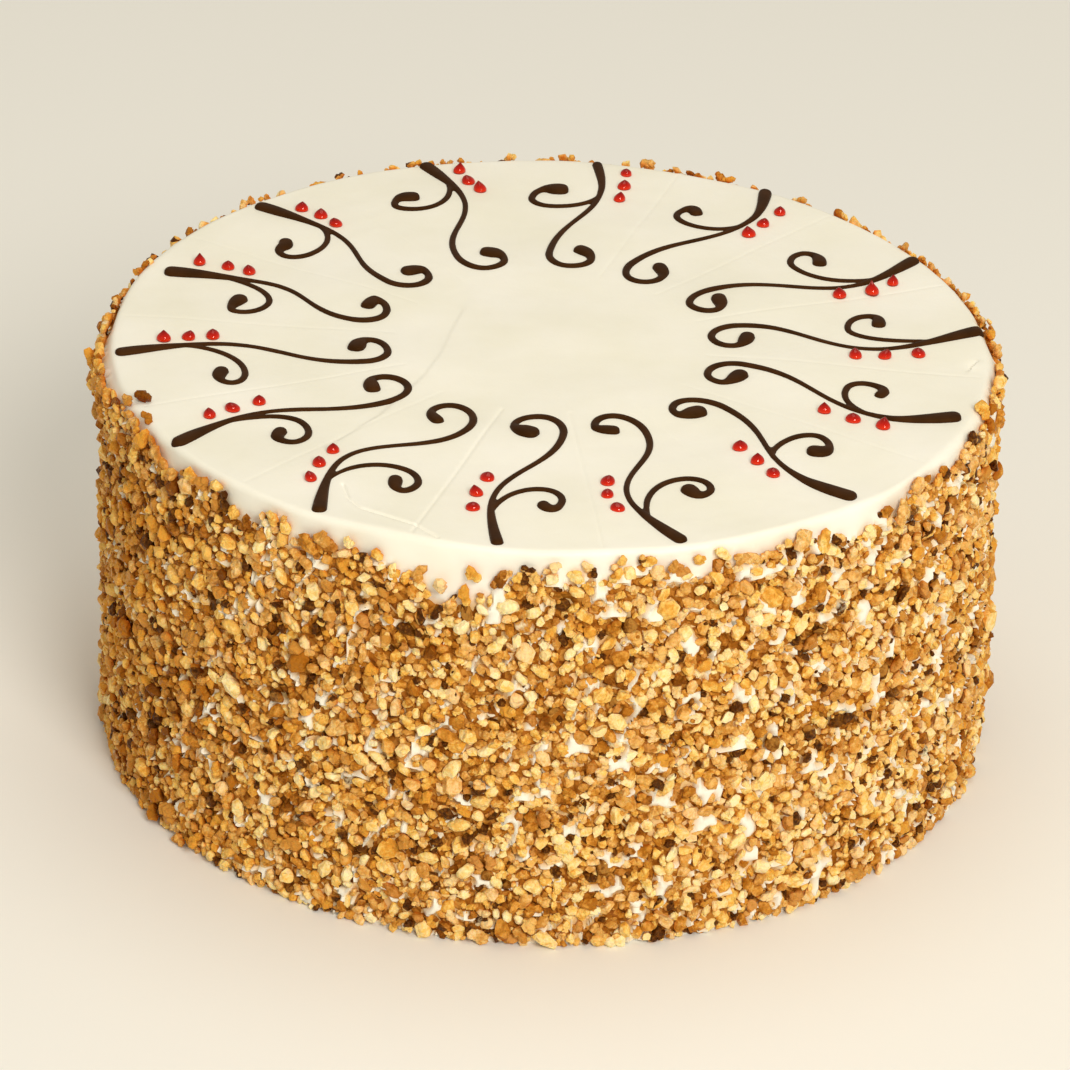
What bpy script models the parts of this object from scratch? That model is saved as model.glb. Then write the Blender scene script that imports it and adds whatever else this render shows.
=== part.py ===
"""Hazelnut torte: a tall round cake under pale icing. Its wall is coated with chopped hazelnuts,
and its top carries fourteen piped chocolate scrolls with three drops of red gel beside each.

Metres, +Z up. The origin is the middle of the flat base. All piping is laid out from the middle
of the top: each scroll has a bearing, and its own points are millimetres sideways (positive is
counter-clockwise, seen from above) and millimetres out from the middle.
"""

import math

import bmesh
import bpy
import numpy as np
from mathutils import Matrix, Vector

MM = 0.001

FLAT_DEGREES = 0.3           # faces closer than this to one plane are joined after a union

# The iced cake
ICING_RADIUS = 120 * MM
CAKE_HEIGHT = 117.3 * MM
EDGE_ROUND = 3.0 * MM
EDGE_STEPS = 2

# The nut coat, as coarse crumbly relief with the largest pieces on it
COAT_COLUMNS = 130
COAT_ROWS = 19
COAT_MEAN = 1.7 * MM
COAT_SPREAD = 1.7 * MM
COAT_LIFT = 1.6 * MM
FOOT_RADIUS = 119.6 * MM
CHUNK_COUNT = 76
CHUNK_LENGTH = (6.4 * MM, 8.8 * MM)
CHUNK_SINK = 1.3 * MM
CHUNK_CORNERS = 10
CHUNK_FLOOR = 0.5 * MM
BARE_BAND_FRONT = 7.5 * MM
BARE_BAND_SIDES = 3.0 * MM
NUT_SEED = 14

# Two stray nut pieces on the rim of the top: bearing in degrees, radius, length
STRAY_NUTS = ((-158.5, 116.9 * MM, 6.4 * MM), (-153.6, 118.0 * MM, 4.6 * MM))

# Piped chocolate
PIPING_LEVEL = CAKE_HEIGHT + 0.3 * MM
STEM_WIDTH = 2.1 * MM
CURL_WIDTH = 2.5 * MM
BEAD_HEIGHT = 0.5            # of its width
TIP_FADE = 16 * MM           # how far the wide start of a stem takes to thin out
TIP_NOSE = 0.35              # of the tip's width: its rounded end
ARC = 0.552                  # handle length that turns a cubic curve into a quarter circle
SWAY = 0.45                  # handle length between two points that run the same way
LEAN = 0.30                  # handle length at the bow, towards the free tip
FREE = 0.35                  # handle length at a free end

# Gel drops
DROP_RADIUS = 1.85 * MM
DROP_SIDES = 6
DROP_SINK = 0.6 * MM

# One row a scroll: bearing of its outer tip in degrees; the stem's turning points (tip, bow, then
# the outer, lowest and inner side of its curl, and its end); the side branch's (fork, lowest point,
# outer side, top, end); widths of the tip, of the curl's end and of the branch's end; and the three
# drops as (sideways, out, height).
SCROLLS = (
    (-172.0, ((-0.6, 117.2), (-4.2, 91.5), (9.4, 51.5), (3.0, 44.9), (-3.8, 49.6), (2.0, 52.8)),
     ((-3.6, 98.0), (12.5, 84.3), (19.4, 88.4), (16.0, 92.2), (11.9, 91.4)),
     (3.8, 3.6, 3.6), ((-6.8, 105.0, 3.8), (-7.3, 98.3, 3.0), (-7.9, 91.6, 3.0))),
    (-145.1, ((0.0, 117.6), (-4.8, 96.0), (7.8, 57.5), (0.8, 47.6), (-5.4, 53.4), (-0.4, 57.2)),
     ((-4.7, 96.0), (6.5, 83.3), (15.0, 90.0), (11.0, 93.9), (7.6, 91.6)),
     (3.8, 3.6, 3.8), ((-8.8, 102.8, 3.2), (-9.2, 95.5, 2.9), (-8.7, 87.6, 3.1))),
    (-119.8, ((0.2, 117.6), (-9.5, 90.5), (8.1, 57.3), (-0.4, 46.6), (-5.4, 52.0), (-1.2, 56.9)),
     ((-5.8, 101.0), (6.6, 85.5), (13.9, 92.3), (12.0, 96.0), (8.0, 92.2)),
     (3.6, 3.0, 3.8), ((-10.2, 104.4, 2.9), (-12.7, 96.6, 3.1), (-13.7, 88.4, 3.2))),
    (-95.8, ((0.2, 117.2), (-4.2, 94.0), (9.7, 54.0), (2.8, 45.1), (-3.8, 51.0), (0.8, 54.2)),
     ((-3.9, 99.0), (7.8, 85.8), (13.7, 91.6), (11.6, 96.0), (9.5, 94.2)),
     (3.2, 5.2, 3.6), ((-8.5, 99.2, 2.5), (-8.6, 91.2, 3.5), (-7.0, 82.0, 2.5))),
    (-72.5, ((0.6, 116.2), (-6.2, 93.0), (9.5, 56.0), (2.3, 46.2), (-3.0, 51.5), (0.4, 53.8)),
     ((-4.9, 101.0), (10.0, 84.3), (16.4, 89.8), (13.0, 94.4), (10.8, 91.4)),
     (3.4, 5.0, 4.6), ((-11.0, 97.1, 2.3), (-11.4, 89.4, 2.5), (-9.2, 82.4, 2.9))),
    (-46.8, ((0.0, 115.4), (-2.7, 101.0), (10.1, 58.0), (2.5, 47.9), (-2.5, 52.6), (2.4, 55.3)),
     ((0.6, 88.0), (10.5, 82.3), (17.7, 87.0), (12.8, 92.9), (10.2, 92.2)),
     (4.4, 4.6, 4.2), ((-7.6, 94.4, 2.7), (-5.9, 86.8, 3.5), (-3.6, 77.9, 3.2))),
    (-19.0, ((0.0, 114.2), (-6.2, 97.0), (8.0, 52.5), (1.2, 44.9), (-4.2, 50.0), (2.0, 53.4)),
     ((-5.6, 92.5), (5.8, 82.5), (10.7, 87.6), (7.6, 92.9), (5.2, 92.4)),
     (4.2, 3.6, 2.8), ((-12.3, 98.2, 3.6), (-11.8, 89.8, 2.9), (-10.1, 81.2, 3.6))),
    (8.0, ((0.0, 117.8), (-9.1, 90.0), (7.2, 52.5), (1.0, 44.4), (-5.0, 49.6), (0.8, 54.0)),
     ((-6.0, 101.0), (3.4, 82.7), (11.4, 89.4), (9.0, 92.1), (5.8, 91.7)),
     (4.2, 3.4, 3.4), ((-13.8, 99.2, 2.9), (-14.2, 89.8, 2.9), (-13.8, 81.8, 3.1))),
    (30.7, ((-0.2, 117.4), (-6.2, 96.0), (8.9, 56.5), (2.4, 46.2), (-2.9, 50.8), (3.4, 55.6)),
     ((-3.8, 102.0), (10.5, 84.7), (17.3, 91.0), (14.2, 94.4), (10.2, 93.1)),
     (4.2, 3.2, 3.6), ((-10.3, 104.2, 3.6), (-12.5, 95.9, 5.0), (-10.2, 86.7, 3.5))),
    (59.6, ((0.0, 117.8), (-6.1, 101.0), (7.4, 56.0), (1.0, 46.7), (-3.9, 52.0), (-0.4, 58.2)),
     ((-5.3, 94.5), (6.0, 87.3), (13.7, 92.8), (11.4, 96.2), (9.2, 95.0)),
     (3.6, 3.6, 4.2), ((-11.2, 107.6, 3.4), (-10.9, 98.3, 3.0), (-10.8, 90.4, 3.5))),
    (84.3, ((0.0, 117.8), (-2.9, 101.0), (7.0, 56.5), (1.0, 48.0), (-5.1, 53.6), (-1.8, 58.8)),
     ((-2.8, 98.5), (10.6, 87.1), (16.2, 92.0), (12.0, 98.0), (9.8, 98.2)),
     (3.2, 4.0, 4.6), ((-8.9, 112.1, 2.6), (-9.3, 103.2, 3.1), (-8.8, 94.8, 3.4))),
    (108.8, ((0.0, 118.0), (-4.3, 98.0), (8.9, 58.0), (2.6, 48.8), (-3.5, 54.0), (-0.4, 58.4)),
     ((-3.1, 103.5), (10.2, 90.2), (16.5, 93.8), (12.4, 98.4), (10.2, 98.2)),
     (4.0, 4.0, 4.2), ((-8.4, 112.6, 3.9), (-8.8, 104.8, 3.0), (-10.4, 98.6, 3.6))),
    (135.9, ((0.2, 116.0), (-2.3, 97.0), (7.7, 56.0), (1.2, 49.6), (-4.9, 55.0), (-1.0, 57.8)),
     ((-2.2, 94.0), (10.8, 84.4), (17.3, 88.8), (14.0, 92.9), (11.8, 94.4)),
     (4.6, 4.0, 3.8), ((-6.5, 107.1, 3.3), (-7.2, 99.8, 3.1), (-6.7, 93.0, 3.1))),
    (161.4, ((0.2, 112.8), (-3.8, 86.0), (8.4, 55.0), (2.0, 47.7), (-5.2, 53.4), (-1.2, 54.9)),
     ((-1.4, 92.0), (8.4, 79.7), (16.3, 86.2), (13.0, 88.4), (9.0, 88.2)),
     (4.8, 4.2, 3.8), ((-7.0, 106.5, 4.0), (-7.9, 98.3, 3.0), (-7.9, 91.9, 3.2))),
)


# ---------------------------------------------------------------- helpers

def clear_scene():
    for thing in list(bpy.data.objects):
        bpy.data.objects.remove(thing, do_unlink=True)


def material(name, colour, roughness):
    made = bpy.data.materials.new(name)
    made.use_nodes = True
    shader = made.node_tree.nodes["Principled BSDF"]
    shader.inputs["Base Color"].default_value = (*colour, 1.0)
    shader.inputs["Roughness"].default_value = roughness
    shader.inputs["Metallic"].default_value = 0.0
    return made


def add_object(name, vertices, faces, finish=None):
    mesh = bpy.data.meshes.new(name)
    mesh.from_pydata([tuple(v) for v in vertices], [], faces)
    mesh.update()
    made = bpy.data.objects.new(name, mesh)
    bpy.context.scene.collection.objects.link(made)
    if finish:
        mesh.materials.append(finish)
    return made


def clean_up(body):
    """Flat neighbours become one face. Loose scraps and sealed hollows are shells of their own:
    only the outer shell stays."""
    edit = bmesh.new()
    edit.from_mesh(body.data)
    bmesh.ops.dissolve_limit(edit, angle_limit=math.radians(FLAT_DEGREES),
                             verts=edit.verts, edges=edit.edges)
    bmesh.ops.triangulate(edit, faces=edit.faces)
    left = set(edit.faces)
    shells = []
    while left:
        shell, front = set(), [left.pop()]
        while front:
            face = front.pop()
            shell.add(face)
            for edge in face.edges:
                for other in edge.link_faces:
                    if other in left:
                        left.discard(other)
                        front.append(other)
        shells.append(shell)
    shells.sort(key=len)
    for shell in shells[:-1]:
        bmesh.ops.delete(edit, geom=list(shell), context="FACES")
    edit.to_mesh(body.data)
    edit.free()


def fuse(body, pieces):
    """One Boolean union of the pieces onto the body."""
    group = bpy.data.collections.new(body.name + "_pieces")
    bpy.context.scene.collection.children.link(group)
    for piece in pieces:
        bpy.context.scene.collection.objects.unlink(piece)
        group.objects.link(piece)
    union = body.modifiers.new("union", "BOOLEAN")
    union.operation = "UNION"
    union.solver = "EXACT"
    union.operand_type = "COLLECTION"
    union.collection = group
    bpy.context.view_layer.objects.active = body
    with bpy.context.temp_override(object=body, active_object=body):
        bpy.ops.object.modifier_apply(modifier=union.name)
    for piece in list(group.objects):
        bpy.data.objects.remove(piece, do_unlink=True)
    bpy.data.collections.remove(group)
    clean_up(body)


def on_top(bearing, sideways, out):
    """A place on the top: sideways and out are metres in the scroll's own directions."""
    turn = math.radians(bearing)
    return (out * math.cos(turn) - sideways * math.sin(turn),
            out * math.sin(turn) + sideways * math.cos(turn))


def top_height(x, y):
    """Height of the icing at x, y: flat, then rolling over at the edge."""
    past = math.hypot(x, y) - (ICING_RADIUS - EDGE_ROUND)
    if past <= 0:
        return CAKE_HEIGHT
    past = min(past, EDGE_ROUND * 0.98)
    return CAKE_HEIGHT - EDGE_ROUND + math.sqrt(EDGE_ROUND ** 2 - past ** 2)


# ---------------------------------------------------------------- the cake and its nut coat

def bare_band(bearing):
    """Icing left bare under the top edge: widest at the front, -90 degrees, none at the back."""
    towards_front = math.sin(math.radians(-bearing))
    return BARE_BAND_SIDES + (BARE_BAND_FRONT - BARE_BAND_SIDES) * towards_front


def cake_core(finish, random):
    """A turned body whose wall is a staggered grid pushed in and out like packed chopped nuts."""
    rows = [(FOOT_RADIUS, 0.0, 0.5)]
    coat_top = CAKE_HEIGHT - EDGE_ROUND - 1.5 * MM
    for row in range(1, COAT_ROWS):
        rows.append((ICING_RADIUS + COAT_MEAN, coat_top * row / COAT_ROWS, 1.0))
    rows.append((ICING_RADIUS, coat_top, 0.0))
    for step in range(EDGE_STEPS + 1):
        angle = math.pi / 2 * step / EDGE_STEPS
        rows.append((ICING_RADIUS - EDGE_ROUND * (1 - math.cos(angle)),
                     CAKE_HEIGHT - EDGE_ROUND * (1 - math.sin(angle)), 0.0))

    vertices, faces = [], []
    for number, (radius, height, roughness) in enumerate(rows):
        for column in range(COAT_COLUMNS):
            angle = 2 * math.pi * (column + 0.5 * (number % 2)) / COAT_COLUMNS
            if roughness and height > CAKE_HEIGHT - bare_band(math.degrees(angle)):
                reach, lift = ICING_RADIUS, 0.0
            else:
                # Each corner is a nut that stands out or a gap between nuts.
                stands_out = random.choice((-1, 1)) * random.uniform(0.5, 1)
                reach = radius + roughness * COAT_SPREAD * stands_out
                lift = roughness * COAT_LIFT * random.uniform(-1, 1) if number else 0.0
            vertices.append((reach * math.cos(angle), reach * math.sin(angle), height + lift))
    for number in range(len(rows) - 1):
        low, high = number * COAT_COLUMNS, (number + 1) * COAT_COLUMNS
        for column in range(COAT_COLUMNS):
            after = (column + 1) % COAT_COLUMNS
            if number % 2:
                faces.append((low + column, low + after, high + after))
                faces.append((low + column, high + after, high + column))
            else:
                faces.append((low + column, low + after, high + column))
                faces.append((low + after, high + after, high + column))
    faces.append(tuple(reversed(range(COAT_COLUMNS))))
    last = (len(rows) - 1) * COAT_COLUMNS
    faces.append(tuple(range(last, last + COAT_COLUMNS)))
    return add_object("cake", vertices, faces, finish)


def nut_chunk(length, random):
    """An angular piece of nut: the hull of a few points on a squashed ball, flattest along X."""
    size = Vector((random.uniform(0.5, 0.68), 1.0, random.uniform(0.68, 0.9))) * length / 2
    edit = bmesh.new()
    for corner in range(CHUNK_CORNERS):
        up = 1 - 2 * (corner + 0.5) / CHUNK_CORNERS
        turn = corner * math.pi * (3 - math.sqrt(5)) + random.uniform(-0.35, 0.35)
        around = math.sqrt(1 - up * up)
        grow = random.uniform(0.88, 1.12)
        edit.verts.new((size.x * grow * around * math.cos(turn),
                        size.y * grow * around * math.sin(turn), size.z * grow * up))
    bmesh.ops.convex_hull(edit, input=edit.verts)
    bmesh.ops.triangulate(edit, faces=edit.faces)
    bmesh.ops.recalc_face_normals(edit, faces=edit.faces)
    return edit


def place_chunk(name, edit, bearing, radius, height, random):
    turn = Matrix.Rotation(math.radians(bearing), 4, "Z")
    tilt = Matrix.Rotation(random.uniform(-0.4, 0.4), 4, "Y")
    roll = Matrix.Rotation(random.uniform(0, math.pi), 4, "X")
    bmesh.ops.transform(edit, matrix=turn @ Matrix.Translation((radius, 0, 0)) @ tilt @ roll,
                        verts=edit.verts)
    sunk = min(v.co.z for v in edit.verts) + height - CHUNK_FLOOR
    rise = height - min(0.0, sunk)
    for vertex in edit.verts:
        vertex.co.z += rise
    mesh = bpy.data.meshes.new(name)
    edit.to_mesh(mesh)
    edit.free()
    made = bpy.data.objects.new(name, mesh)
    bpy.context.scene.collection.objects.link(made)
    return made


def spread_places(random):
    """Even places on the wall: of many random ones, each time the one farthest from the rest."""
    girth = 2 * math.pi * ICING_RADIUS
    places = np.empty((0, 2))
    for _ in range(CHUNK_COUNT):
        tries = np.column_stack([random.uniform(0, girth, 24), random.uniform(0, CAKE_HEIGHT, 24)])
        bearings = tries[:, 0] / girth * 360 - 180
        limit = np.array([CAKE_HEIGHT - bare_band(b) for b in bearings])
        tries[:, 1] *= limit / CAKE_HEIGHT
        if len(places):
            across = np.abs(tries[:, None, 0] - places[None, :, 0])
            across = np.minimum(across, girth - across)
            apart = np.hypot(across, tries[:, None, 1] - places[None, :, 1]).min(axis=1)
            tries = tries[apart.argmax()][None]
        places = np.vstack([places, tries[:1]])
    return [(x / girth * 360 - 180, z) for x, z in places]


def near_a_tip(bearing, height):
    clear = 5.0
    if height < CAKE_HEIGHT - 6 * MM:
        return False
    return any(abs((bearing - row[0] + 180) % 360 - 180) < clear for row in SCROLLS)


def nut_coat(random):
    chunks = []
    for number, (bearing, height) in enumerate(spread_places(random)):
        if near_a_tip(bearing, height):
            continue
        edit = nut_chunk(random.uniform(*CHUNK_LENGTH), random)
        radius = ICING_RADIUS + COAT_MEAN + CHUNK_SINK * random.uniform(-0.6, 0.6)
        chunks.append(place_chunk(f"nut_{number:03d}", edit, bearing, radius, height, random))
    for number, (bearing, radius, length) in enumerate(STRAY_NUTS):
        edit = nut_chunk(length, random)
        x, y = on_top(bearing, 0.0, radius)
        chunks.append(place_chunk(f"stray_{number}", edit, bearing, radius,
                                  top_height(x, y) + 0.25 * length, random))
    return chunks


# ---------------------------------------------------------------- gel drops

def gel_drop(name, x, y, height):
    """A kiss of gel: full at the foot, drawn up to a point."""
    foot = top_height(x, y)
    rings = ((DROP_RADIUS * 0.9, foot - DROP_SINK), (DROP_RADIUS * 0.8, foot + 0.42 * height))
    vertices = []
    for radius, level in rings:
        for side in range(DROP_SIDES):
            angle = 2 * math.pi * side / DROP_SIDES
            vertices.append((x + radius * math.cos(angle), y + radius * math.sin(angle), level))
    vertices.append((x, y, foot + height))
    faces = [tuple(reversed(range(DROP_SIDES)))]
    for side in range(DROP_SIDES):
        after = (side + 1) % DROP_SIDES
        faces.append((side, after, DROP_SIDES + after, DROP_SIDES + side))
        faces.append((DROP_SIDES + side, DROP_SIDES + after, 2 * DROP_SIDES))
    return add_object(name, vertices, faces)


def gel_drops():
    drops = []
    for number, (bearing, _, _, _, places) in enumerate(SCROLLS):
        for which, (sideways, out, height) in enumerate(places):
            x, y = on_top(bearing, sideways * MM, out * MM)
            drops.append(gel_drop(f"drop_{number:02d}_{which}", x, y, height * MM))
    return drops


# ---------------------------------------------------------------- piped scrolls

def handles(start, end, start_way, end_way):
    """Handles of one stretch. A way is the axis (0 sideways, 1 out) the stroke runs along at a
    turning point, or None at a free end."""
    reach = LEAN if start_way is None else SWAY if start_way == end_way else ARC
    first, second = list(start), list(end)
    if start_way is not None:
        first[start_way] += reach * (end[start_way] - start[start_way])
    if end_way is not None:
        second[end_way] += reach * (start[end_way] - end[end_way])
    if start_way is None:
        first = [a + FREE * (b - a) for a, b in zip(start, second)]
    if end_way is None:
        second = [a + FREE * (b - a) for a, b in zip(end, first)]
    return first, second


def stroke(points, ways, steps):
    """Points along a stroke through its turning points, as smooth cubic stretches."""
    line = [points[0]]
    for number in range(len(points) - 1):
        start, end = points[number], points[number + 1]
        first, second = handles(start, end, ways[number], ways[number + 1])
        for step in range(1, steps[number] + 1):
            t = step / steps[number]
            s = 1 - t
            line.append(tuple(s * s * s * a + 3 * s * s * t * b + 3 * s * t * t * c + t * t * t * d
                              for a, b, c, d in zip(start, first, second, end)))
    return line


STEM_WAYS = (None, 1, 1, 0, 1, None)
STEM_STEPS = (3, 4, 3, 2, 2)
SIDE_WAYS = (1, 0, 1, 0, None)
SIDE_STEPS = (3, 2, 2, 1)

# A bead's cross-section as (across, up) shares of its width and height
BEAD = ((0.5, 0.0), (0.28, 1.0), (-0.28, 1.0), (-0.5, 0.0))
BLOB_SIDES = 6


def bead_along(name, line, widths, bearing, finish):
    """A flat-bottomed bead of chocolate laid on the icing along a line of (sideways, out)."""
    places = [Vector((*on_top(bearing, a * MM, b * MM), PIPING_LEVEL)) for a, b in line]
    vertices, faces = [], []
    for number, place in enumerate(places):
        ahead = places[min(number + 1, len(places) - 1)]
        behind = places[max(number - 1, 0)]
        way = (ahead - behind).normalized()
        side, rise = Vector((way.y, -way.x, 0)), Vector((0, 0, BEAD_HEIGHT))
        for across, up in BEAD:
            vertices.append(place + (side * across + rise * up) * widths[number])
    ring = len(BEAD)
    for number in range(len(places) - 1):
        low, high = number * ring, (number + 1) * ring
        for corner in range(ring):
            after = (corner + 1) % ring
            faces.append((low + corner, high + corner, high + after, low + after))
    faces.append(tuple(range(ring)))
    faces.append(tuple(reversed(range(len(vertices) - ring, len(vertices)))))
    made = add_object(name, vertices, faces, finish)
    edit = bmesh.new()
    edit.from_mesh(made.data)
    bmesh.ops.recalc_face_normals(edit, faces=edit.faces)
    edit.to_mesh(made.data)
    edit.free()
    return made


def blob(name, place, bearing, width, finish):
    """The thicker end of a curl: a low dome with a flat top."""
    x, y = on_top(bearing, place[0] * MM, place[1] * MM)
    vertices = []
    for share, up in ((0.5, 0.0), (0.3, BEAD_HEIGHT * 0.95)):
        for side in range(BLOB_SIDES):
            angle = 2 * math.pi * side / BLOB_SIDES
            vertices.append((x + share * width * math.cos(angle), y + share * width * math.sin(angle),
                             PIPING_LEVEL + up * width))
    faces = [tuple(reversed(range(BLOB_SIDES))), tuple(range(BLOB_SIDES, 2 * BLOB_SIDES))]
    for side in range(BLOB_SIDES):
        after = (side + 1) % BLOB_SIDES
        faces.append((side, after, BLOB_SIDES + after, BLOB_SIDES + side))
    return add_object(name, vertices, faces, finish)


def stem_widths(line, tip_width):
    """Widest at the tip, thinning along the stem, a little wider again round the curl."""
    widths, run = [], 0.0
    for number, place in enumerate(line):
        if number:
            run += math.dist(place, line[number - 1]) * MM
        fade = math.exp(-(run / TIP_FADE) ** 2)
        plain = CURL_WIDTH if number > STEM_STEPS[0] + STEM_STEPS[1] else STEM_WIDTH
        widths.append(plain + (tip_width * MM - plain) * fade)
    return widths


def scroll(number, row, finish):
    bearing, stem_points, side_points, (tip_width, curl_end, side_end), _ = row
    line = stroke(stem_points, STEM_WAYS, STEM_STEPS)
    widths = stem_widths(line, tip_width)
    nose = (line[0][0], line[0][1] + TIP_NOSE * tip_width)
    body = bead_along(f"scroll_{number:02d}", [nose] + line, [widths[0] * 0.6] + widths, bearing, finish)
    side_line = stroke(side_points, SIDE_WAYS, SIDE_STEPS)
    side_widths = [STEM_WIDTH + (CURL_WIDTH - STEM_WIDTH) * min(1.0, step / 6)
                   for step in range(len(side_line))]
    fuse(body, [
        bead_along("side", side_line, side_widths, bearing, finish),
        blob("curl_end", stem_points[-1], bearing, curl_end * MM, finish),
        blob("side_end", side_points[-1], bearing, side_end * MM, finish),
    ])
    return body


# ---------------------------------------------------------------- build

def build():
    clear_scene()
    random = np.random.default_rng(NUT_SEED)
    iced = material("icing_and_nuts", (0.72, 0.55, 0.33), 0.6)
    chocolate = material("piped_chocolate", (0.035, 0.018, 0.011), 0.35)
    cake = cake_core(iced, random)
    fuse(cake, nut_coat(random) + gel_drops())
    for number, row in enumerate(SCROLLS, start=1):
        scroll(number, row, chocolate)
    for made in bpy.data.objects:
        made.data.shade_smooth()
        made.data.set_sharp_from_angle(angle=math.radians(35))


build()
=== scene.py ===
# %% [markdown]
# # A hazelnut torte
# The object is a tall round cake under pale icing. Its wall is pressed full of chopped hazelnuts,
# and its top carries fourteen piped chocolate scrolls with three drops of red gel beside each.
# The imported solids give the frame: the cake and each scroll are dressed here with pieces that have
# the fine shapes and the finishes, in the same place and at the same size.

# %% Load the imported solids
import math

import bpy
import numpy as np
from mathutils import Matrix, Vector, noise


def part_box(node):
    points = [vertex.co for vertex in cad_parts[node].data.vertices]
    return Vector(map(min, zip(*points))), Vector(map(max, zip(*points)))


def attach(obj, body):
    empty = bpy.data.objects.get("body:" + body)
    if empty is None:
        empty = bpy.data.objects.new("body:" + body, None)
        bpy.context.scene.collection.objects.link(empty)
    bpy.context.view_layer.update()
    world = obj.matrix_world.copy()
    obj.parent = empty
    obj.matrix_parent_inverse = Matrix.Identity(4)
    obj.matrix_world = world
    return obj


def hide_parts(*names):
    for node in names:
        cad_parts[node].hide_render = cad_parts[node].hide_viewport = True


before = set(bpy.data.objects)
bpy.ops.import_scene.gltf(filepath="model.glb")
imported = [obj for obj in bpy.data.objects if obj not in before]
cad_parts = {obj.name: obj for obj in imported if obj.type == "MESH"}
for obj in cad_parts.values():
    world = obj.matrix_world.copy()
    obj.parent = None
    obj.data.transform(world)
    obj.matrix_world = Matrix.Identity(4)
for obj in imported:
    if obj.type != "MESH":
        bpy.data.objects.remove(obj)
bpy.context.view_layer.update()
MM = 0.001

# %% [markdown]
# ## Sizes that everything shares
# The icing is a turned body, so its radius, its height and the roll of its edge drive the rest.
# The height is read from the frame: the scrolls' solids lie a small gap above the icing.

# %% Sizes of the iced body
PIPING_GAP = 0.3 * MM
ICING_RADIUS = 120 * MM
EDGE_ROLL = 2.0 * MM
CAKE_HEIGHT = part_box("scroll_01")[0].z - PIPING_GAP
print("cake height in mm", round(CAKE_HEIGHT / MM, 1))

# %% [markdown]
# ## Helpers for pieces
# Operators act on all that is selected, so each step starts by selecting its own pieces.

# %% Helpers for pieces
def deselect():
    if bpy.context.object and bpy.context.object.mode != "OBJECT":
        bpy.ops.object.mode_set(mode="OBJECT")
    bpy.ops.object.select_all(action="DESELECT")


def select(pieces):
    """Selects some pieces and nothing else. The first is the active one."""
    deselect()
    for piece in pieces:
        piece.select_set(True)
    bpy.context.view_layer.objects.active = pieces[0]


def join(pieces, name):
    select(pieces)
    bpy.ops.object.join()
    pieces[0].name = name
    return pieces[0]


def add_object(name, data):
    made = bpy.data.objects.new(name, data)
    bpy.context.scene.collection.objects.link(made)
    return made


def apply_modifier(thing, kind, **settings):
    made = thing.modifiers.new(kind.lower(), kind)
    for name, value in settings.items():
        setattr(made, name, value)
    bpy.ops.object.modifier_apply(modifier=made.name)


def corners(thing):
    """The vertices of a piece as an array of places."""
    places = np.empty(len(thing.data.vertices) * 3, np.float32)
    thing.data.vertices.foreach_get("co", places)
    return places.reshape(-1, 3).astype(float)


def move_corners(thing, places):
    thing.data.vertices.foreach_set("co", np.ascontiguousarray(places, np.float32).ravel())
    thing.data.update()


def note(thing, name, values):
    """Keeps one number for each vertex, for a finish to read."""
    layer = thing.data.attributes.new(name, "FLOAT", "POINT")
    layer.data.foreach_set("value", values.astype(np.float32))


def select_only(thing, kind, chosen):
    """Selects the chosen edges or polygons of a piece, and nothing else."""
    for part in ("vertices", "edges", "polygons"):
        parts = getattr(thing.data, part)
        parts.foreach_set("select", chosen if part == kind else np.zeros(len(parts), bool))


def triangles(piece):
    piece.data.calc_loop_triangles()
    return len(piece.data.loop_triangles)


def put_on(piece, finish, *nodes, slot):
    piece.data.materials.clear()
    piece.data.materials.append(finish)
    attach(piece, "root")
    if nodes:
        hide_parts(*nodes)


# %% [markdown]
# ## Helpers for finishes
# Colours are written as the hex values that a screen shows and turned to the linear values that light
# needs. One function adds a shader node with its settings and its links, and a few short ones on top of
# it add the nodes that nearly every finish uses.

# %% Helpers for finishes
def linear(shown):
    """A hex colour, as a screen shows it, in linear light."""
    parts = [int(shown[place:place + 2], 16) / 255 for place in (1, 3, 5)]
    return tuple(p / 12.92 if p <= 0.04045 else ((p + 0.055) / 1.055) ** 2.4 for p in parts) + (1.0,)


def new_finish(name):
    finish = bpy.data.materials.new(name)
    finish.use_nodes = True
    return finish, finish.node_tree.nodes["Principled BSDF"]


def plug(finish, node, inputs):
    """Gives a node its inputs: each is a value, a hex colour or another node's output."""
    for socket, value in inputs.items():
        if isinstance(value, bpy.types.NodeSocket):
            finish.node_tree.links.new(value, node.inputs[socket])
        else:
            node.inputs[socket].default_value = linear(value) if isinstance(value, str) else value


def add_node(finish, kind, inputs=None, **settings):
    """A shader node: settings are its own values, inputs are {socket: value or output}."""
    made = finish.node_tree.nodes.new(kind)
    for name, value in settings.items():
        setattr(made, name, value)
    plug(finish, made, inputs or {})
    return made


def place_on(finish):
    return add_node(finish, "ShaderNodeTexCoord").outputs["Object"]


def read_note(finish, name):
    return add_node(finish, "ShaderNodeAttribute", attribute_name=name).outputs


def soft_noise(finish, place, size, detail, roughness=0.5):
    """Noise whose features are about this size."""
    inputs = {"Vector": place, "Scale": 1.0 / size, "Detail": detail, "Roughness": roughness}
    return add_node(finish, "ShaderNodeTexNoise", inputs).outputs["Fac"]


def cells(finish, place, size):
    return add_node(finish, "ShaderNodeTexVoronoi", {"Vector": place, "Scale": 1.0 / size}).outputs


def map_range(finish, value, start, end, low=0.0, high=1.0):
    inputs = {"Value": value, "From Min": start, "From Max": end, "To Min": low, "To Max": high}
    return add_node(finish, "ShaderNodeMapRange", inputs).outputs["Result"]


def arithmetic(finish, operation, *values, clamp=False):
    made = add_node(finish, "ShaderNodeMath", dict(enumerate(values)), operation=operation, use_clamp=clamp)
    return made.outputs["Value"]


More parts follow.
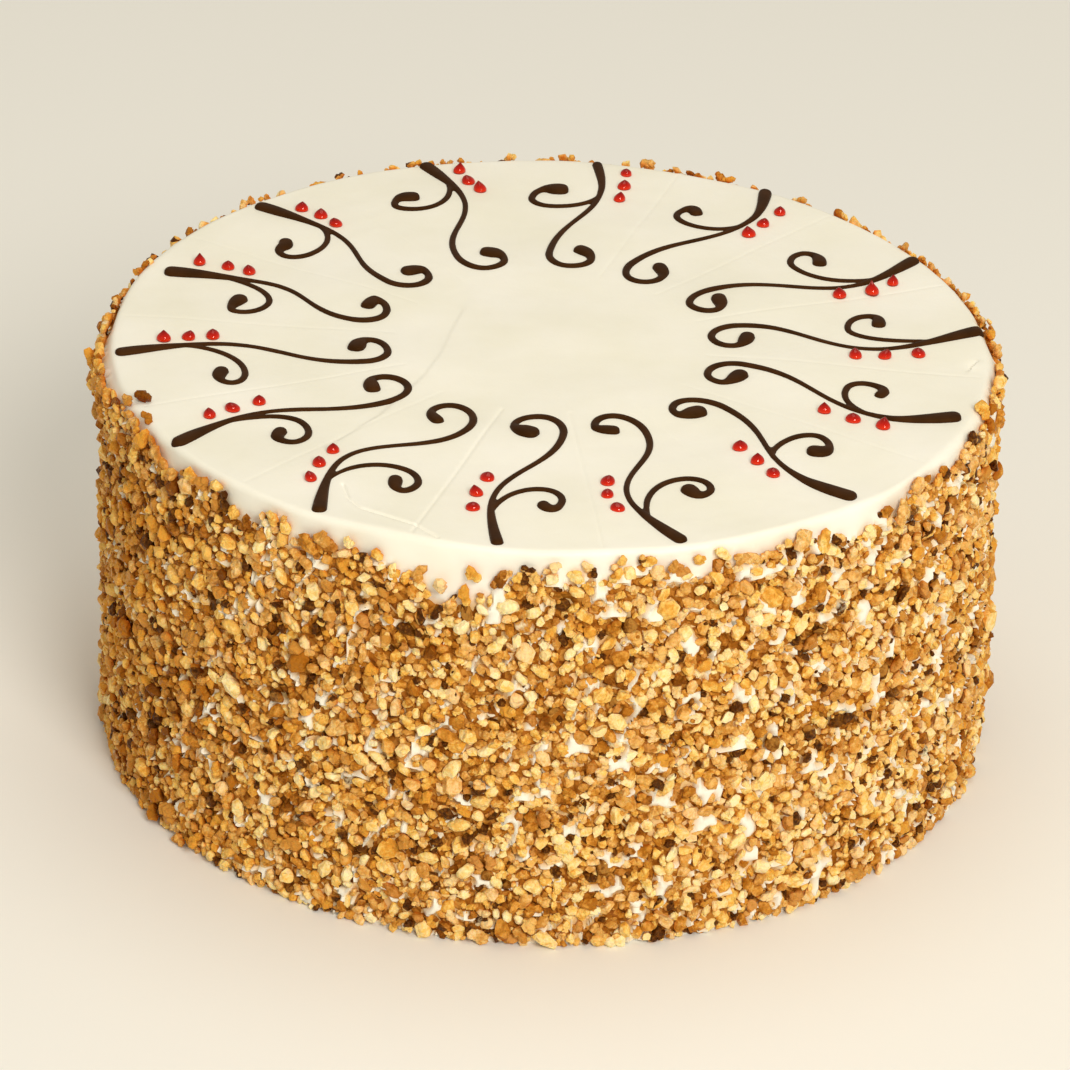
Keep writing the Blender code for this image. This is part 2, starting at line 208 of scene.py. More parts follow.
def ramp(finish, value, stops):
    """Colour by value, through stops (position, colour)."""
    made = add_node(finish, "ShaderNodeValToRGB", {"Fac": value})
    elements = made.color_ramp.elements
    while len(elements) < len(stops):
        elements.new(1.0)
    for element, (position, shown) in zip(elements, stops):
        element.position = position
        element.color = linear(shown)
    return made.outputs["Color"]


def mix(finish, factor, first, second, **settings):
    """Two colours, by a factor."""
    made = add_node(finish, "ShaderNodeMix", {"Factor": factor, 6: first, 7: second}, data_type="RGBA",
                    **settings)
    return made.outputs[2]


def relief(finish, height, strength, distance, under=None, invert=False):
    """Fine relief by height, on top of the relief under it."""
    inputs = {"Height": height, "Strength": strength, "Distance": distance}
    if under:
        inputs["Normal"] = under
    return add_node(finish, "ShaderNodeBump", inputs, invert=invert).outputs["Normal"]


# %% [markdown]
# ## Camera
# The photograph was taken with a long lens, from a little above and almost straight ahead, with the
# camera tipped slightly. A fitted focal length, height, turn and distance put the render's rim,
# foot and piping on the photograph's. Blender wants the lens in millimetres on a 36 mm sensor.

# %% Place the camera
PHOTO_PIXELS = 1070
FOCAL_PIXELS = 5500
SENSOR_WIDTH = 36.0
CAMERA_ELEVATION = math.radians(28.34)
CAMERA_TURN = math.radians(-0.092)
CAMERA_ROLL = math.radians(2.095)
CAMERA_DISTANCE = 1526.5 * MM
AIM = Vector((0, 0, 57.3 * MM))
CLIP_END = 20.0


def place_camera():
    back = Vector((0, -math.cos(CAMERA_ELEVATION), math.sin(CAMERA_ELEVATION)))
    right = Vector((1, 0, 0))
    up = right.cross(-back)
    look = math.cos(CAMERA_TURN) * -back + math.sin(CAMERA_TURN) * right
    side = math.cos(CAMERA_TURN) * right + math.sin(CAMERA_TURN) * back
    rolled_side = math.cos(CAMERA_ROLL) * side + math.sin(CAMERA_ROLL) * up
    rolled_up = math.cos(CAMERA_ROLL) * up - math.sin(CAMERA_ROLL) * side
    turn = Matrix((rolled_side, rolled_up, -look)).transposed().to_4x4()
    data = bpy.data.cameras.new("camera")
    data.sensor_width = SENSOR_WIDTH
    data.lens = FOCAL_PIXELS / PHOTO_PIXELS * SENSOR_WIDTH
    data.clip_end = CLIP_END
    made = add_object("camera", data)
    made.matrix_world = Matrix.Translation(AIM + back * CAMERA_DISTANCE) @ turn
    return made


bpy.context.scene.camera = place_camera()
print("lens in mm", round(bpy.context.scene.camera.data.lens, 2))

# %% [markdown]
# ## How high the icing stands
# A cook spreads the icing with a long spatula and it never comes out flat. The top has slow waves
# of a few tenths of a millimetre, and it rolls over softly at the edge. The piping and the gel ask
# this one function for their height, so they sit on the icing.

# %% Height of the icing
WAVE_LENGTH = 46 * MM
WAVE_HEIGHT = 0.45 * MM


def waves(x, y):
    """Slow unevenness of the top."""
    u, v = x / WAVE_LENGTH * 2 * math.pi, y / WAVE_LENGTH * 2 * math.pi
    return WAVE_HEIGHT * (0.5 * np.sin(0.83 * u + 0.6 * np.sin(0.5 * v) + 0.7)
                          + 0.3 * np.sin(0.47 * u - 0.9 * v + 2.1) + 0.2 * np.sin(1.3 * v + 0.4 * u))


def icing_height(x, y):
    past = np.clip(np.hypot(x, y) - (ICING_RADIUS - EDGE_ROLL), 0, EDGE_ROLL * 0.995)
    roll = EDGE_ROLL - np.sqrt(EDGE_ROLL ** 2 - past ** 2)
    inside = 1 - np.clip(past / EDGE_ROLL, 0, 1)
    return CAKE_HEIGHT - roll + waves(x, y) * inside


print("height at the middle in mm", round(float(icing_height(0.0, 0.0)) / MM, 2))

# %% [markdown]
# ## Marks in the icing
# A wheel with fourteen spokes was pressed lightly into the top to mark the portions, one line
# between each pair of scrolls. The lines start clear of the middle and end at the rim. On the left,
# one stroke of the spatula overlaps another in a long curved lap, there is a short curved crease
# near the front rim, and at the right rim a small flap of icing was lifted beside a nick.

# %% Where the marks run
# bearing in degrees, depth in mm
SPOKES = ((-155.9, 0.08), (-131.5, 0.07), (-106.7, 0.20), (-82.6, 0.12), (-58.4, 0.04), (-32.5, 0.06),
          (-6.0, 0.07), (22.1, 0.08), (48.1, 0.07), (72.7, 0.08), (99.3, 0.04), (124.6, 0.04),
          (150.6, 0.06), (177.0, 0.06))
SPOKE_FROM = 43 * MM
SPOKE_TO = 117 * MM
SPOKE_WIDTH = 0.40 * MM
LAP = ((-24.6, 17.6), (-27.5, 4.0), (-29.5, -9.0), (-33.5, -23.0), (-44.5, -47.5), (-54.4, -62.7))
CREASE = ((-52.4, -87.9), (-50.6, -95.0), (-47.4, -99.9), (-32.9, -108.2), (-27.0, -114.5))
FLAP = ((113.3, -9.0), (114.6, -6.0), (116.2, -2.9))


def spokes():
    lines = []
    for bearing, _ in SPOKES:
        way = np.array((math.cos(math.radians(bearing)), math.sin(math.radians(bearing))))
        lines.append((way * SPOKE_FROM, way * SPOKE_TO))
    return lines


def chain(points):
    points = np.array(points) * MM
    return list(zip(points[:-1], points[1:]))


def nearest(places, lines):
    """Distance from each place to the nearest of some straight lines, and the side it is on."""
    best = np.full(len(places), 1.0)
    side = np.zeros(len(places))
    for start, end in lines:
        along = end - start
        share = np.clip(((places - start) @ along) / (along @ along), 0, 1)
        away = places - (start + share[:, None] * along)
        distance = np.hypot(away[:, 0], away[:, 1])
        closer = distance < best
        best[closer] = distance[closer]
        side[closer] = np.sign(along[0] * away[closer, 1] - along[1] * away[closer, 0])
    return best, side


marks = spokes() + chain(LAP) + chain(CREASE) + chain(FLAP)
print("lines in the icing", len(marks))

# %% [markdown]
# ## The icing
# The icing could be a cylinder with a bevelled edge, but its top needs a fine even mesh to carry
# the marks. So a square grid is bent into a disc, its outer loop is extruded round the roll of the
# edge and down the wall, and the foot is closed. Only the faces beside a mark are subdivided again.

# %% Shape the iced body
TOP_CELLS = 150
ROLL_STEPS = 5
WALL_CUTS = 58
MARK_BAND = 1.3 * MM
MARK_CORE = 0.65 * MM
TOP_DEPTH = 0.5 * MM         # faces this close below the top belong to it


def disc_from_square(places, half):
    """A square grid bent into a disc: straight lines become gentle arcs."""
    u, v = places[:, 0] / half, places[:, 1] / half
    places[:, 0] = half * u * np.sqrt(1 - v * v / 2)
    places[:, 1] = half * v * np.sqrt(1 - u * u / 2)
    return places


def subdivide_where(thing, wanted):
    """Cuts in half the faces whose middle meets a rule."""
    bpy.ops.object.mode_set(mode="OBJECT")
    middles = np.empty(len(thing.data.polygons) * 3, np.float32)
    thing.data.polygons.foreach_get("center", middles)
    chosen = wanted(middles.reshape(-1, 3).astype(float))
    select_only(thing, "polygons", chosen)
    bpy.ops.object.mode_set(mode="EDIT")
    bpy.ops.mesh.subdivide(number_cuts=1)


def near_mark(band):
    """The rule for faces of the top within a band of a mark."""
    return lambda middles: ((nearest(middles[:, :2], marks)[0] < band)
                            & (middles[:, 2] > CAKE_HEIGHT - TOP_DEPTH))


def shape_icing():
    deselect()
    flat = ICING_RADIUS - EDGE_ROLL
    bpy.ops.mesh.primitive_grid_add(x_subdivisions=TOP_CELLS, y_subdivisions=TOP_CELLS,
                                    size=2 * flat, location=(0, 0, CAKE_HEIGHT))
    icing = bpy.context.object
    icing.name = "icing"
    bpy.ops.object.transform_apply(location=True)
    move_corners(icing, disc_from_square(corners(icing), flat))
    bpy.ops.object.mode_set(mode="EDIT")
    bpy.ops.mesh.select_mode(type="EDGE")
    bpy.ops.mesh.select_all(action="SELECT")
    bpy.ops.mesh.region_to_loop()
    radius, height = flat, CAKE_HEIGHT
    for step in range(1, ROLL_STEPS + 1):
        angle = math.pi / 2 * step / ROLL_STEPS
        next_radius = flat + EDGE_ROLL * math.sin(angle)
        next_height = CAKE_HEIGHT - EDGE_ROLL * (1 - math.cos(angle))
        bpy.ops.mesh.extrude_edges_move(TRANSFORM_OT_translate={"value": (0, 0, next_height - height)})
        bpy.ops.transform.resize(value=(next_radius / radius, next_radius / radius, 1),
                                 center_override=(0, 0, next_height))
        radius, height = next_radius, next_height
    bpy.ops.mesh.extrude_edges_move(TRANSFORM_OT_translate={"value": (0, 0, -height)})
    bpy.ops.mesh.edge_face_add()
    bpy.ops.object.mode_set(mode="OBJECT")
    wall = corners(icing)
    select_edges(icing, lambda a, b: abs(wall[a, 2] - wall[b, 2]) > height * 0.9)
    bpy.ops.object.mode_set(mode="EDIT")
    bpy.ops.mesh.subdivide(number_cuts=WALL_CUTS)
    bpy.ops.mesh.select_mode(type="FACE")
    subdivide_where(icing, near_mark(MARK_BAND))
    subdivide_where(icing, near_mark(MARK_CORE))
    bpy.ops.mesh.select_all(action="SELECT")
    bpy.ops.mesh.normals_make_consistent(inside=False)
    bpy.ops.object.mode_set(mode="OBJECT")
    return icing


def select_edges(thing, wanted):
    """Selects the edges whose two corners meet a rule, and nothing else."""
    ends = np.empty(len(thing.data.edges) * 2, np.int32)
    thing.data.edges.foreach_get("vertices", ends)
    ends = ends.reshape(-1, 2)
    select_only(thing, "edges", wanted(ends[:, 0], ends[:, 1]))


icing = shape_icing()
print("icing triangles", triangles(icing))

# %% [markdown]
# ## The wall as a map
# To press nuts evenly into a round wall, it helps to unroll it. A place on this map is a distance round
# the cake and a climb: zero where the wall meets the rolled edge, negative down the wall, and positive
# over the edge onto the top. One function turns a place back into a point and an outward direction.
# Another goes from the photograph to the map: the near half of the map is laid into the picture by the
# camera, and the closest point to a pixel is the answer. So a nut can be placed by saying where it is
# seen.

# %% Unroll the wall
GIRTH = 2 * math.pi * ICING_RADIUS
WALL_TOP = CAKE_HEIGHT - EDGE_ROLL
ROLL_LENGTH = EDGE_ROLL * math.pi / 2
READ_PROUD = 1.2 * MM        # the middle of a piece in the photograph stands this far out
# how much of the map is laid into the picture, and how closely: bearings in degrees, climbs in mm
NEAR_BEARINGS = (-186, 6)
NEAR_CLIMBS = (-60, 15)
NEAR_STEP = 0.25


def from_map(around, climb):
    """Point on the icing and outward direction at a place on the unrolled wall."""
    bearing = around / ICING_RADIUS
    bend = np.clip(climb / EDGE_ROLL, 0, math.pi / 2)
    over = np.maximum(climb - ROLL_LENGTH, 0)
    radius = ICING_RADIUS - EDGE_ROLL + EDGE_ROLL * np.cos(bend) - over
    height = WALL_TOP + np.minimum(climb, 0) + EDGE_ROLL * np.sin(bend)
    point = np.stack([radius * np.cos(bearing), radius * np.sin(bearing), height], axis=-1)
    outward = np.stack([np.cos(bend) * np.cos(bearing), np.cos(bend) * np.sin(bearing), np.sin(bend)],
                       axis=-1)
    return point, outward


def map_in_picture():
    """The near half of the map, as closely set points, and the pixels that they show at."""
    around, climb = np.meshgrid(np.radians(np.arange(*NEAR_BEARINGS, NEAR_STEP)) * ICING_RADIUS,
                                np.arange(*NEAR_CLIMBS, NEAR_STEP) * MM, indexing="ij")
    point, outward = from_map(around, climb)
    view = bpy.context.scene.camera.matrix_world
    shows = ((np.array(view.translation) - point) * outward).sum(axis=-1) > 0
    to_camera = np.array(view.inverted())
    place = (point[shows] + outward[shows] * READ_PROUD) @ to_camera[:3, :3].T + to_camera[:3, 3]
    across = PHOTO_PIXELS / 2 - FOCAL_PIXELS * place[:, 0] / place[:, 2]
    down = PHOTO_PIXELS / 2 + FOCAL_PIXELS * place[:, 1] / place[:, 2]
    return around[shows], climb[shows], across, down


MAP_AROUND, MAP_CLIMB, MAP_ACROSS, MAP_DOWN = map_in_picture()


def seen_on_map(across, down):
    """Place on the map of the piece whose middle shows at a pixel of the photograph."""
    closest = np.argmin(np.hypot(MAP_ACROSS - across, MAP_DOWN - down))
    return MAP_AROUND[closest], MAP_CLIMB[closest]


print("girth in mm", round(GIRTH / MM, 1))

# %% [markdown]
# ## Where the coat is thick, and where icing shows
# The nuts were pressed on by hand. At the front they stop a few millimetres under the edge, on the left
# they climb over it in clumps, and at the back a few stand up above it. The coat is a little thicker in
# three places on the left and right. In many places a short slanting vein of icing shows between the
# nuts. Sums of waves that close round the cake give soft random fields for the veins and the ragged
# edge: they are smooth, repeatable and need no picture. Waves that all run nearly the same way give a
# field that is stretched across them, which makes the veins slant.

# %% Fields over the map
def soft_field(seed, longest, shortest, way=0.0, spread=math.pi, count=48):
    """A smooth random field over the map, about -1 to 1, whose waves run within a spread of a way."""
    random = np.random.default_rng(seed)
    terms = []
    for _ in range(count):
        length = math.exp(random.uniform(math.log(shortest), math.log(longest)))
        angle = way + random.uniform(-spread / 2, spread / 2)
        turns = round(GIRTH * math.cos(angle) / length)
        terms.append((turns / ICING_RADIUS, 2 * math.pi * math.sin(angle) / length,
                      random.uniform(0, 2 * math.pi), length ** 0.3))
    total = math.sqrt(sum(t[3] ** 2 for t in terms) / 2)

    def field(around, climb):
        return sum(t[3] * np.cos(t[0] * around + t[1] * climb + t[2]) for t in terms) / total / 1.5
    return field


ACROSS_VEINS = math.radians(-42)
vein_field = soft_field(3, 14 * MM, 6 * MM, ACROSS_VEINS, math.radians(110))
vein_place = soft_field(5, 17 * MM, 7 * MM)
edge_field = soft_field(8, 30 * MM, 7 * MM)
VEIN_WIDTH = 0.34            # of the field's height
VEIN_FROM = 0.10             # of the field that says where veins may be
VEIN_GROWS = 0.45            # of that field: over this a vein grows to its width
NEAR_TOP = 22 * MM           # closer to the top there are more veins
MORE_NEAR_TOP = 0.2
# the coat's upper edge, read off the photograph from left to right, in its pixels
EDGE_SEEN = (
    (109, 332), (110, 352), (110, 372), (117, 386), (124, 395), (133, 404), (140, 416), (146, 428),
    (154, 432), (156, 444), (163, 452), (166, 462), (172, 465), (184, 470), (198, 477), (208, 483),
    (215, 480), (220, 480), (226, 492), (229, 504), (236, 508), (248, 515), (257, 520), (262, 512),
    (274, 509), (285, 512), (287, 528), (294, 537), (301, 535), (308, 531), (318, 529), (330, 532),
    (335, 539), (342, 545), (350, 536), (355, 544), (360, 552), (374, 551), (388, 557), (404, 571),
    (415, 568), (420, 566), (426, 574), (428, 592), (456, 593), (480, 592), (490, 592), (496, 574),
    (504, 570), (512, 572), (520, 568), (528, 565), (536, 574), (544, 574), (550, 562), (560, 564),
    (566, 578), (576, 568), (588, 561), (595, 568), (600, 580), (612, 572), (617, 555), (626, 555),
    (630, 565), (640, 557), (652, 556), (660, 566), (672, 561), (680, 566), (688, 572), (708, 573),
    (714, 568), (716, 546), (731, 545), (736, 560), (742, 553), (752, 551), (762, 555), (768, 552),
    (776, 546), (784, 543), (789, 534), (798, 528), (812, 532), (816, 535), (822, 533), (832, 535),
    (846, 533), (854, 535), (866, 526), (872, 528), (877, 526), (880, 510), (892, 505), (906, 505),
    (913, 512), (914, 502), (909, 492), (910, 480), (918, 475), (932, 471), (944, 466), (952, 470),
    (959, 460), (964, 449), (968, 438), (972, 432), (978, 424), (979, 408),
)
EDGE_HALO = 0.8 * MM         # the pieces at the edge reach this far beyond it
EDGE_SEEN_FROM, EDGE_SEEN_TO = -172, -5      # bearings between which the readings are used
# how far up the map it reaches where the photograph does not show it: bearing in degrees, reach in mm
EDGE_BEHIND = ((-180, 1.0), (-173, 1.0), (-4, 0.8), (0, 0.6), (30, 0.8), (60, 0.6), (90, 0.4), (120, 0.6),
               (150, 0.8), (180, 1.0))
# how ragged that edge is, in mm: the hidden half follows the waves alone
RAGGED = ((-180, 0.5), (-15, 0.5), (10, 1.6), (160, 1.6), (180, 0.5))
# how much icing shows, by bearing: most at the front and on the right, least on the left
VEIN_SHARE = ((-180, 0.25), (-150, 0.3), (-125, 0.7), (-105, 0.95), (-80, 1.12), (-50, 1.15), (-30, 1.0),
              (0, 0.6), (90, 0.7), (180, 0.25))


def wrapped(degrees):
    """The same angle between -180 and 180."""
    return (degrees + 180) % 360 - 180


def by_bearing(table, around):
    """Value at a place round the cake, between rows of (bearing in degrees, value)."""
    rows = np.array(table, float)
    return np.interp(wrapped(np.degrees(around / ICING_RADIUS)), rows[:, 0], rows[:, 1])


def edge_rows():
    """Rows of (bearing in degrees, reach in mm) all round: seen at the front, guessed behind."""
    rows = list(EDGE_BEHIND)
    for across, down in EDGE_SEEN:
        place = seen_on_map(across, down)
        degrees = math.degrees(place[0] / ICING_RADIUS)
        if EDGE_SEEN_FROM < degrees < EDGE_SEEN_TO:
            rows.append((degrees, (place[1] - EDGE_HALO) / MM))
    return sorted(rows)


COAT_EDGE = edge_rows()


def coat_edge(around):
    """How far up the map the coat reaches at a place round the cake."""
    reach = by_bearing(COAT_EDGE, around) + by_bearing(RAGGED, around) * edge_field(around, 0)
    return reach * MM


# bearing and climb of the middle, reach round in degrees and up in mm, rise in mm
BULGES = ((-170, -4.5, 11, 6.5, 3.2), (2, -4.0, 17, 16.0, 1.2), (0, -86, 20, 42, 2.8))


def bulge(around, climb):
    """How much thicker the coat is on the left and right under the rim, and at the foot on the right."""
    degrees = wrapped(np.degrees(around / ICING_RADIUS))
    rise = 0
    for bearing, up, wide, tall, height in BULGES:
        turn = wrapped(degrees - bearing)
        rise = rise + height * MM * np.exp(-(turn / wide) ** 2 - ((climb / MM - up) / tall) ** 2)
    return rise


def vein(around, climb):
    """How close a place is to a vein of bare icing: 1 along its middle, 0 at its border, then less."""
    share = by_bearing(VEIN_SHARE, around)
    near_top = np.clip(1 + climb / NEAR_TOP, 0, 1)
    place = vein_place(around, climb) - VEIN_FROM + MORE_NEAR_TOP * near_top
    width = VEIN_WIDTH * share * np.clip(place / VEIN_GROWS, 0.02, 1)
    return 1 - np.abs(vein_field(around, climb)) / width


sample = np.random.default_rng(1).uniform(0, 1, (6000, 2)) * (GIRTH, -WALL_TOP)
print("share of bare icing", round(float((vein(sample[:, 0], sample[:, 1]) > 0).mean()), 3))

# %% [markdown]
# ## Unevenness of the icing
# As a sculptor's brush would, code now moves the points: the slow waves, the grooves with a small burr
# pushed up on each side, the lap as a step, the crease, the lifted flap, and on the wall the swells
# where icing was squeezed out between the nuts. The wall is cut finer beside the veins, because that is
# where its edge shows. The same step notes how far each point lies under the coat, where the icing has
# taken up oil from the nuts and where a painted warm shade stands in for the light bounced between them.

# %% Move the icing's points
BURR = 0.2                   # of the groove's depth
BURR_AT = 0.9 * MM
BURR_WIDTH = 0.38 * MM
LAP_STEP = 0.28 * MM
LAP_EDGE = 0.5 * MM
LAP_FADE = 7.0 * MM
CREASE_DEPTH = 0.4 * MM
FLAP_MIDDLE = (114.8 * MM, -5.6 * MM)
FLAP_LENGTH = 3.0 * MM
FLAP_RISE = 0.4 * MM
FLAP_FADE = 4 * MM
FLAP_NICK = 0.8 * MM
NICK_FADE = 1.3 * MM
STROKE_HEIGHT = 0.05 * MM
STROKE_WIDTH = 5 * MM
STROKE_TURNS = 3.1           # how soon a stroke changes on its way round
STROKES_FROM = 40 * MM       # nearer the middle they fade
SWELL = 0.35 * MM
SWELL_SIZE = 7.0 * MM
VEIN_RISE = 2.3 * MM
RISE_FADE = 3 * MM           # how far below the edges the wall takes to rise fully
# the oil stain and painted warm shade grow to full over this far below the coat's edge
OIL_AND_SHADE_FADE = 4 * MM
FOOT = 0.5 * MM              # the lowest of the wall stays where it is
FINE_VEIN = -0.4             # how near a vein the wall is cut finer
RIM_SWELL = 0.55 * MM
RIM_SWELL_SIZE = 22.0 * MM


def groove(distance, depth, width):
    burr = BURR * np.exp(-((distance - BURR_AT) / BURR_WIDTH) ** 2)
    return depth * (burr - np.exp(-(distance / width) ** 2))


def bump(places, middle, width):
    return np.exp(-((places[:, 0] - middle[0]) ** 2 + (places[:, 1] - middle[1]) ** 2) / width ** 2)


def roughness_of(places, size, seed):
    shift = Vector((seed, 2.3 * seed, -seed))
    return np.array([noise.noise(Vector(p) / size + shift) for p in places])


def near_vein(middles):
    around = np.arctan2(middles[:, 1], middles[:, 0]) * ICING_RADIUS
    on_wall = (np.hypot(middles[:, 0], middles[:, 1]) > ICING_RADIUS * 0.99) & (middles[:, 2] < WALL_TOP)
    return on_wall & (vein(around, middles[:, 2] - WALL_TOP) > FINE_VEIN)


def top_rise(flat, radius, bearing, top):
    """How far the waves, the marks and the strokes raise each place of the top."""
    rise = waves(flat[:, 0], flat[:, 1]) * np.clip((ICING_RADIUS - radius) / EDGE_ROLL, 0, 1)
    for line, (_, depth) in zip(spokes(), SPOKES):
        rise += groove(nearest(flat, [line])[0], depth * MM, SPOKE_WIDTH)
    distance, side = nearest(flat, chain(LAP))
    step = np.clip(side * distance / LAP_EDGE, -1, 1) * np.exp(-distance / LAP_FADE)
    rise += np.where(distance < 3 * LAP_FADE, LAP_STEP * 0.5 * step, 0)
    rise += groove(nearest(flat, chain(CREASE))[0], CREASE_DEPTH, SPOKE_WIDTH)
    distance, side = nearest(flat, chain(FLAP))
    flap = np.where(side > 0, -FLAP_NICK * np.exp(-distance / NICK_FADE),
                    FLAP_RISE * np.exp(-distance / FLAP_FADE))
    rise += flap * bump(flat, FLAP_MIDDLE, FLAP_LENGTH)
    # Spatula strokes run round the cake, so their ripples are long round it and narrow across.
    strokes = np.stack([radius / STROKE_WIDTH, np.cos(bearing) * STROKE_TURNS,
                        np.sin(bearing) * STROKE_TURNS], axis=1)
    ripple = np.zeros(len(flat))
    ripple[top] = roughness_of(strokes[top], 1.0, 4.0)
    return rise + STROKE_HEIGHT * ripple * np.clip(radius / STROKES_FROM, 0, 1)


def wall_push(places, around, climb):
    """How far the wall stands out. The rolled edge is wavy, and the wall swells between the nuts."""
    push = RIM_SWELL * roughness_of(places, RIM_SWELL_SIZE, 2.0)
    push += SWELL * roughness_of(places, SWELL_SIZE, 9.0)
    squeezed = np.clip(0.3 + 0.9 * vein(around, climb), 0, 1)
    squeezed *= squeezed * (3 - 2 * squeezed)
    push += VEIN_RISE * squeezed * np.clip((coat_edge(around) - climb) / RISE_FADE, 0, 1)
    return push + bulge(around, climb) * np.clip(0.3 - climb / RISE_FADE, 0, 1)


def work_icing(thing):
    places = corners(thing)
    flat = places[:, :2]
    radius = np.hypot(flat[:, 0], flat[:, 1])
    bearing = np.arctan2(flat[:, 1], flat[:, 0])
    top = places[:, 2] > CAKE_HEIGHT - EDGE_ROLL * 0.999
    places[top, 2] += top_rise(flat, radius, bearing, top)[top]
    outside = (radius >= ICING_RADIUS - EDGE_ROLL) & (places[:, 2] > FOOT)
    around = bearing[outside] * ICING_RADIUS
    climb = places[outside, 2] - WALL_TOP
    slope = np.clip((radius[outside] - (ICING_RADIUS - EDGE_ROLL)) / EDGE_ROLL, 0, 1)
    push = wall_push(places[outside], around, climb) * slope
    places[outside, :2] += flat[outside] / radius[outside][:, None] * push[:, None]
    move_corners(thing, places)
    # Oil stain and painted shade: under the coat the icing is tinted golden, for the oil it takes up and for
    # the warm light bounced between the nuts, less in the middle of a vein.
    oil_stain_and_warm_shade = np.zeros(len(places))
    oil_stain_and_warm_shade[outside] = np.clip((coat_edge(around) - climb) / OIL_AND_SHADE_FADE, 0, 1)
    oil_stain_and_warm_shade[outside] *= 1 - 0.9 * np.clip(3 * vein(around, climb) + 0.2, 0, 1)
    note(thing, "oil_stain_and_warm_shade", oil_stain_and_warm_shade)


select([icing])
subdivide_where(icing, near_vein)
bpy.ops.object.mode_set(mode="OBJECT")
work_icing(icing)
bpy.ops.object.shade_smooth_by_angle(angle=math.radians(60))
print("icing height in mm", round(float(corners(icing)[:, 2].max()) / MM, 2), "triangles", triangles(icing))

# %% [markdown]
# ## Finish: whipped cream icing
# Whipped icing is a foam of fat, sugar and air. Light goes a little way into it and comes out warm, so
# it looks soft and cream, and the fat gives it a broad satin sheen. Fine air bubbles make a faint
# grain, and the spatula leaves hair-fine scratches. In the narrow gaps between nuts it is stained
# golden by their oil, with painted warm shade for the light bounced off them; the wide bare patches stay
# pale.

# %% Make the icing's finish
def cream_icing():
    finish, shader = new_finish("whipped_cream_icing")
    place = place_on(finish)
    tone = ramp(finish, soft_noise(finish, place, 28 * MM, 3.0), [(0.3, "#F2EFE0"), (0.7, "#F8F5EB")])
    # Golden tint under the coat: nut oil, and painted warm shade for the light bounced off the nuts.
    oiled_and_shaded = mix(finish, read_note(finish, "oil_stain_and_warm_shade")["Fac"], tone, "#F0CD90")
    grain = soft_noise(finish, place, 0.9 * MM, 4.0)
    soft = soft_noise(finish, place, 6 * MM, 2.0)
    fine = relief(finish, grain, 0.25, 0.10 * MM)
    plug(finish, shader, {"Base Color": oiled_and_shaded, "Normal": relief(finish, soft, 0.35, 0.35 * MM, fine),
                          "Roughness": 0.48, "IOR": 1.45, "Subsurface Weight": 0.12,
                          "Subsurface Radius": (1.0, 0.95, 0.85), "Subsurface Scale": 0.5 * MM})
    return finish


put_on(icing, cream_icing(), "cake", slot="iced_cake")
